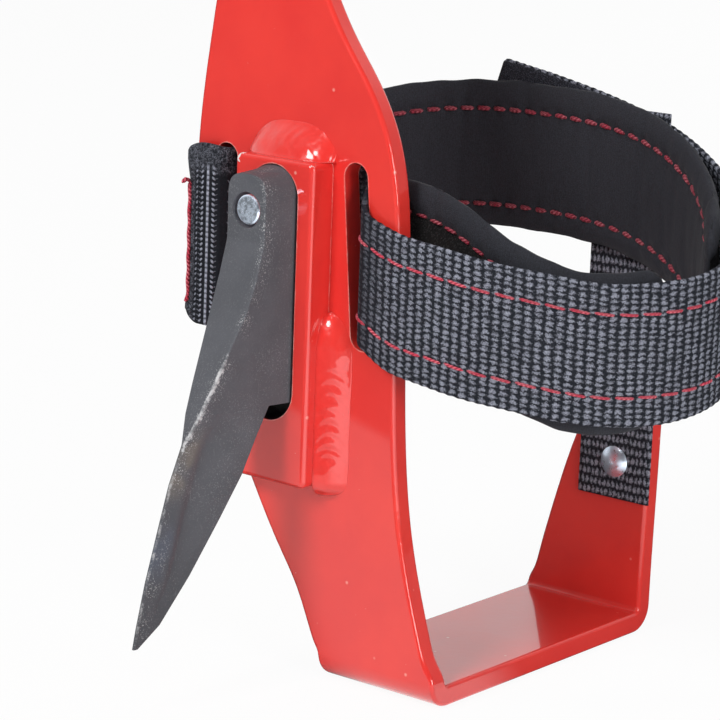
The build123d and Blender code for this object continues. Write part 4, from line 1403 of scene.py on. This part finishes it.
class SPIKE_OT_weave_ankle_straps(bpy.types.Operator):
    """Weave the ankle strap, the heel loop and the outer tie, and sew them"""

    bl_idname = "spike.weave_ankle_straps"
    bl_label = "Weave the ankle straps"

    def execute(self, context):
        cloth = context.scene.spike_cloth
        thickness = cloth.webbing_thickness / MM
        coarse = [mixed("charcoal webbing")]
        red = [mixed("red thread")]
        self.weave_strap(cloth, thickness, coarse, red)
        self.weave_loop(cloth, thickness, red)
        self.weave_tie(coarse)
        return {"FINISHED"}

    def weave_strap(self, cloth, thickness, coarse, red):
        """Strap through the toe slot and round the ankle, with two sewn rows."""
        route = Route(in_frame(STRAP_ROUTE), 0.55)
        slot = route.nearest(*SLOT_AT)
        half = STRAP_WIDTH / 2

        def fit(distance, rise):
            """Gather the strap in its slot, lift its hidden top edge there and slant its tail's corner."""
            near = ramp(np.abs(distance - slot), GATHER_REACH, 0.0)
            rise = rise - GATHER * near * np.clip(rise / half, -1, 1)
            inside = ramp(distance, slot + HIDDEN_SPAN[0], slot + HIDDEN_SPAN[1])
            eased = inside * inside * (3 - 2 * inside)
            rise = rise + HIDDEN_LIFT * eased * np.clip(rise / half, 0, 1) ** 4
            return slant_tail(route, distance, rise), rise

        piece = strap_shape(route, STRAP_WIDTH, thickness, cloth.column / MM, 1.0, fit=fit).make(
            "ankle_strap_webbing", "stirrup", "webbing", coarse)
        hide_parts("ankle_strap")
        rows = Shape()
        start = slot + STRAP_SEAM_ENDS[0]
        stop = route.length - STRAP_SEAM_ENDS[1]
        out = -thickness / 2 - SEAM_GAP
        for rise in (-SEAM_RISE, SEAM_RISE):
            sew_row(rows, route, start, stop, rise, out, strap_stitches(cloth), fit=fit)
        rows.make("ankle_strap_thread", "stirrup", "red_thread", red)

    def weave_loop(self, cloth, thickness, red):
        """Loop round the shank's heel edge, with an upright seam and the loose end of its thread."""
        route = Route(in_frame(LOOP_ROUTE), 0.45)
        spine = route.nearest(*SPINE_AT)
        shape = strap_shape(route, LOOP_WIDTH, thickness, LOOP_RIB, 4.0, start=spine, scallop=0.0)
        shape.bend(self.draw_in)
        piece = shape.make("heel_loop_webbing", "stirrup", "webbing", [mixed("herringbone webbing")])
        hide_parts("heel_loop")
        rows = Shape()
        spot = route.nearest(*LOOP_SEAM_AT)
        radius = 1.65 * cloth.thread_radius / MM
        rise = np.linspace(*LOOP_SEAM, 73)
        lift = radius * (0.55 + 0.18 * np.cos(2 * math.pi * rise * MM / cloth.stitch_pitch))
        rows.add_tube(route.place(spot, thickness / 2 + lift, rise), radius)
        tail = [route.place(spot + along, thickness / 2 + out, up) for along, out, up in LOOSE_END]
        rows.add_tube(tail, radius * 0.9)
        rows.bend(self.draw_in)
        rows.make("heel_loop_thread", "stirrup", "red_thread", red)

    def draw_in(self, points):
        """Pull the loop's heel fold in along its stitches, round its lower corner and puff up its top."""
        middle = -64.0
        x, y, z = points.T
        top = ramp(z, 128.0, 136.0) ** 2
        across = np.clip((x - middle) / 7.5, -1, 1) ** 2
        z = z + top * (1.1 - np.where(x < middle, 2.3, 1.1) * across)
        fold = ramp(x, -65.5, -70.5)
        sewn = ramp(z, 91.0, 95.0) * ramp(z, 132.0, 127.0)
        low = ramp(z, 93.0, 87.0)
        return np.stack((x + 1.1 * fold * sewn, y, z + 3.2 * fold ** 2 * low), axis=1)

    def weave_tie(self, coarse):
        """Flat tie inside the outer upright."""
        spacing = 0.8
        inset = 0.6
        across = np.linspace(-TIE_HALF + inset, TIE_HALF - inset, 16)
        section = [(v, TIE_HALF_THICK) for v in across] + [(TIE_HALF, 0.0)]
        section += [(-v, -out) for v, out in section]
        heights = np.arange(TIE_LOW, TIE_HIGH + 0.01, spacing)
        rings = np.array([[(TIE_X + v, behind(TIE_BEHIND) + out, z) for v, out in section] for z in heights])
        cloth = np.array([[(z, v) for v, out in section] for z in heights])
        shape = Shape()
        shape.add_rings(rings, cloth)
        piece = shape.make("outer_tie_webbing", "stirrup", "webbing", coarse)
        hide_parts("outer_tie")


class SPIKE_OT_weave_calf_straps(bpy.types.Operator):
    """Weave the calf strap and the ring loop, and sew them"""

    bl_idname = "spike.weave_calf_straps"
    bl_label = "Weave the calf straps"

    def fold(self, angle, forward):
        """Points round the wire of the ring, from the inner layer to the outer one."""
        centre = np.array(round_leg(angle, STRAP_R + FOLD_R))
        turn = math.radians(angle)
        out = np.array([math.sin(turn), -math.cos(turn), 0.0])
        ahead = np.array([math.cos(turn), math.sin(turn), 0.0]) * forward
        steps = np.radians(np.linspace(-90, 90, 9)[1:-1])
        return [tuple(centre + FOLD_R * (out * math.sin(a) + ahead * math.cos(a))) for a in steps]

    def execute(self, context):
        cloth = context.scene.spike_cloth
        thickness = cloth.webbing_thickness / MM
        face = thickness / 2 + SEAM_GAP
        outer = STRAP_R + 2 * FOLD_R
        runs = {
            "calf_strap": leg_arc(STRAP_R, 330, 98) + self.fold(97, -1) + leg_arc(outer, 98, 185),
            "ring_loop": leg_arc(STRAP_R, 30, 81) + self.fold(82, 1) + leg_arc(outer, 81, 62),
        }
        for number, (node, points) in enumerate(runs.items()):
            route = Route(points, 0.6, 8)
            piece = strap_shape(route, STRAP_WIDTH, thickness, cloth.column / MM, 20.0 + number).make(
                node + "_webbing", "calf_cup", "webbing", [mixed("charcoal webbing")])
            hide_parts(node)
            rows = Shape()
            stop = route.length - CALF_SEAM_END
            for rise in (-SEAM_RISE, SEAM_RISE):
                for out in (face, -face):
                    sew_row(rows, route, CALF_SEAM_END, stop, rise, out, strap_stitches(cloth))
            rows.make(node + "_thread", "calf_cup", "red_thread", [mixed("red thread")])
        return {"FINISHED"}


class SPIKE_OT_press_hook_tapes(bpy.types.Operator):
    """Press the hook tapes of the ankle strap and the calf strap"""

    bl_idname = "spike.press_hook_tapes"
    bl_label = "Press the hook tapes"

    def execute(self, context):
        tape = [mixed("hook tape")]
        ankle = Route(in_frame(HOOK_ROUTE), 0.8)

        def fit(distance, rise):
            """Slant the top corner of the tape's end."""
            return slant_tail(ankle, distance, rise), rise

        piece = strap_shape(ankle, ANKLE_TAPE_WIDTH, ANKLE_TAPE_THICK, TAPE_RIB, 31.0, fit=fit).make(
            "ankle_hook_tape", "stirrup", "hook_tape", tape)
        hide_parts("strap_hook_tape")
        calf = Route(leg_arc(STRAP_R + FOLD_R, 125, 181), 0.8)
        piece = strap_shape(calf, CALF_TAPE_WIDTH, CALF_TAPE_THICK, TAPE_RIB, 33.0).make(
            "calf_hook_tape_press", "calf_cup", "hook_tape", tape)
        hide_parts("calf_hook_tape")
        return {"FINISHED"}


class SPIKE_OT_set_stage(bpy.types.Operator):
    """Set the floor, the lamps, the air and the camera"""

    bl_idname = "spike.set_stage"
    bl_label = "Set the stage"

    def execute(self, context):
        studio = context.scene.spike_studio
        self.lay_floor(studio)
        self.light_air(context, studio)
        lamps = [
            ("key lamp", (-0.27, -2.10, 1.75), (0.0, -0.03, 0.10), 0.95, studio.key_power),
            ("top lamp", (0.05, -0.45, 1.80), (0.0, -0.03, 0.10), 0.25, studio.top_power),
            ("side lamp", (2.25, -0.62, 0.65), (0.0, 0.0, 0.12), 1.0, studio.side_power),
            ("back lamp", (-0.20, 2.30, 0.65), (0.0, 0.0, 0.20), 0.8, studio.back_power),
        ]
        for name, place, aim, size, power in lamps:
            lamp = self.hang_lamp(name, place, aim, size, power)
            lamp.visible_glossy = name != "back lamp"
        self.set_camera(context)
        context.scene.view_settings.view_transform = "Standard"
        return {"FINISHED"}

    def lay_floor(self, studio):
        """Pale floor just under the tread, white to the camera, that keeps a soft shadow; to gloss it dims to
        the room in front, with a painted bright patch toward the toe side and a painted shadow round the
        object.
        """
        mesh = bpy.data.meshes.new("floor")
        wide = 6.0
        low = CAD_BOX[0].z - 0.0003
        mesh.from_pydata([(-wide, -wide, low), (wide, -wide, low), (wide, wide, low), (-wide, wide, low)],
                         [], [(0, 1, 2, 3)])
        floor = put("floor", mesh)
        pale = bpy.data.materials.new("pale floor")
        pale.use_nodes = True
        pale.node_tree.nodes.clear()
        mesh.materials.append(pale)
        web = Web(pale.node_tree)
        light = web.fields(web.add("LightPath"))
        shiny = web.most(light["Is Glossy Ray"], light["Is Transmission Ray"])
        seen = web.most(light["Is Camera Ray"], shiny)
        x, y, _ = web.split(web.object_place())
        left = web.math("MINIMUM", x, -0.1) * -0.46 + y
        front = web.most(x, -0.1) * 0.39 + left
        # Painted bright patch toward the toe side, seen only in gloss.
        painted_bright_patch = web.span(x, 0.0, 0.16) * web.span(y, 0.0, -0.12, 0.2, 1.4)
        lit = web.span(front, -0.240, -0.228, studio.room, 1.15) * (painted_bright_patch + 1.0)
        # Painted shadow round the object, seen only in gloss.
        lit = lit * web.span(x * -0.9 + y, -0.025, -0.050, 0.05, 1.0)
        strength = web.value("Mix", {0: light["Is Camera Ray"], 2: lit, 3: 1.0})
        diffuse = web.value("BsdfDiffuse", {"Color": studio.floor})
        glow = web.value("Emission", {"Color": WHITE, "Strength": strength})
        surface = web.value("MixShader", {0: seen * 0.94, 1: diffuse, 2: glow})
        web.add("OutputMaterial", {"Surface": surface})

    def light_air(self, context, studio):
        """White background, an even light, and a dimmer room behind the camera."""
        world = bpy.data.worlds.new("studio air")
        context.scene.world = world
        world.use_nodes = True
        world.node_tree.nodes.clear()
        web = Web(world.node_tree)
        light = web.fields(web.add("LightPath"))
        x, y, _ = web.split(web.value("TexCoord", output="Generated"))
        backward = y * 0.78 + x * -0.45
        glossy = web.span(backward, -0.35, 0.30, studio.room, 1.0) * web.span(x, 0.15, 0.60, 1.0, 0.35)
        shiny = web.most(light["Is Glossy Ray"], light["Is Transmission Ray"])
        strength = web.most(glossy * shiny + (1.0 - shiny) * studio.air, light["Is Camera Ray"])
        surface = web.value("Background", {"Color": WHITE, "Strength": strength})
        web.add("OutputWorld", {"Surface": surface})

    def hang_lamp(self, name, place, aim, size, power):
        """Round lamp at a place, turned to what it lights."""
        data = bpy.data.lights.new(name, "AREA")
        data.shape = "DISK"
        data.size = size
        data.energy = power
        lamp = put(name, data)
        lamp.location = place
        lamp.rotation_mode = "QUATERNION"
        lamp.rotation_quaternion = (Vector(aim) - Vector(place)).to_track_quat("-Z", "Y")
        return lamp

    def set_camera(self, context):
        """Camera at the photograph's place, turn and lens."""
        data = bpy.data.cameras.new("photo camera")
        data.sensor_width = 36.0
        data.lens = CAMERA_LENS
        data.clip_start = 0.01
        data.clip_end = 50.0
        turn = math.radians(CAMERA_AZIMUTH)
        rise = math.radians(CAMERA_ELEVATION)
        roll = math.radians(CAMERA_ROLL)
        back = Vector((math.cos(rise) * math.sin(turn), -math.cos(rise) * math.cos(turn), math.sin(rise)))
        right = Vector((math.cos(turn), math.sin(turn), 0.0))
        up = back.cross(right)
        side = math.cos(roll) * right + math.sin(roll) * up
        top = math.cos(roll) * up - math.sin(roll) * right
        columns = Matrix((side, top, back)).transposed()
        camera = put("photo camera", data)
        camera.matrix_world = Matrix.Translation(Vector(CAMERA_AT) * MM) @ columns.to_4x4()
        context.scene.camera = camera


class SPIKE_PT_panel(bpy.types.Panel):
    """Lists the steps that dress the spike, with their sizes and colours"""

    bl_idname = "SPIKE_PT_panel"
    bl_label = "Climbing spike"
    bl_space_type = "VIEW_3D"
    bl_region_type = "UI"
    bl_category = "Spike"

    def draw(self, context):
        for step in STEPS:
            self.layout.operator(step.bl_idname)
        for group in (context.scene.spike_metal, context.scene.spike_cloth, context.scene.spike_studio):
            box = self.layout.box()
            for name in group.__annotations__:
                box.prop(group, name)


GROUPS = {"spike_metal": SpikeMetal, "spike_cloth": SpikeCloth, "spike_studio": SpikeStudio}
STEPS = (
    SPIKE_OT_mix_finishes, SPIKE_OT_set_stage, SPIKE_OT_paint_iron, SPIKE_OT_weld_beads, SPIKE_OT_forge_gaff,
    SPIKE_OT_plate_fasteners, SPIKE_OT_mould_cup, SPIKE_OT_fill_pads, SPIKE_OT_weave_ankle_straps,
    SPIKE_OT_weave_calf_straps, SPIKE_OT_press_hook_tapes,
)


def register():
    for name, group in GROUPS.items():
        bpy.utils.register_class(group)
        setattr(bpy.types.Scene, name, bpy.props.PointerProperty(type=group))
    for step in STEPS:
        bpy.utils.register_class(step)
    bpy.utils.register_class(SPIKE_PT_panel)


def unregister():
    bpy.utils.unregister_class(SPIKE_PT_panel)
    for step in reversed(STEPS):
        bpy.utils.unregister_class(step)
    for name, group in reversed(GROUPS.items()):
        delattr(bpy.types.Scene, name)
        bpy.utils.unregister_class(group)


def main():
    register()
    for step in STEPS:
        family, name = step.bl_idname.split(".")
        getattr(getattr(bpy.ops, family), name)()


if __name__ == "__main__":
    main()
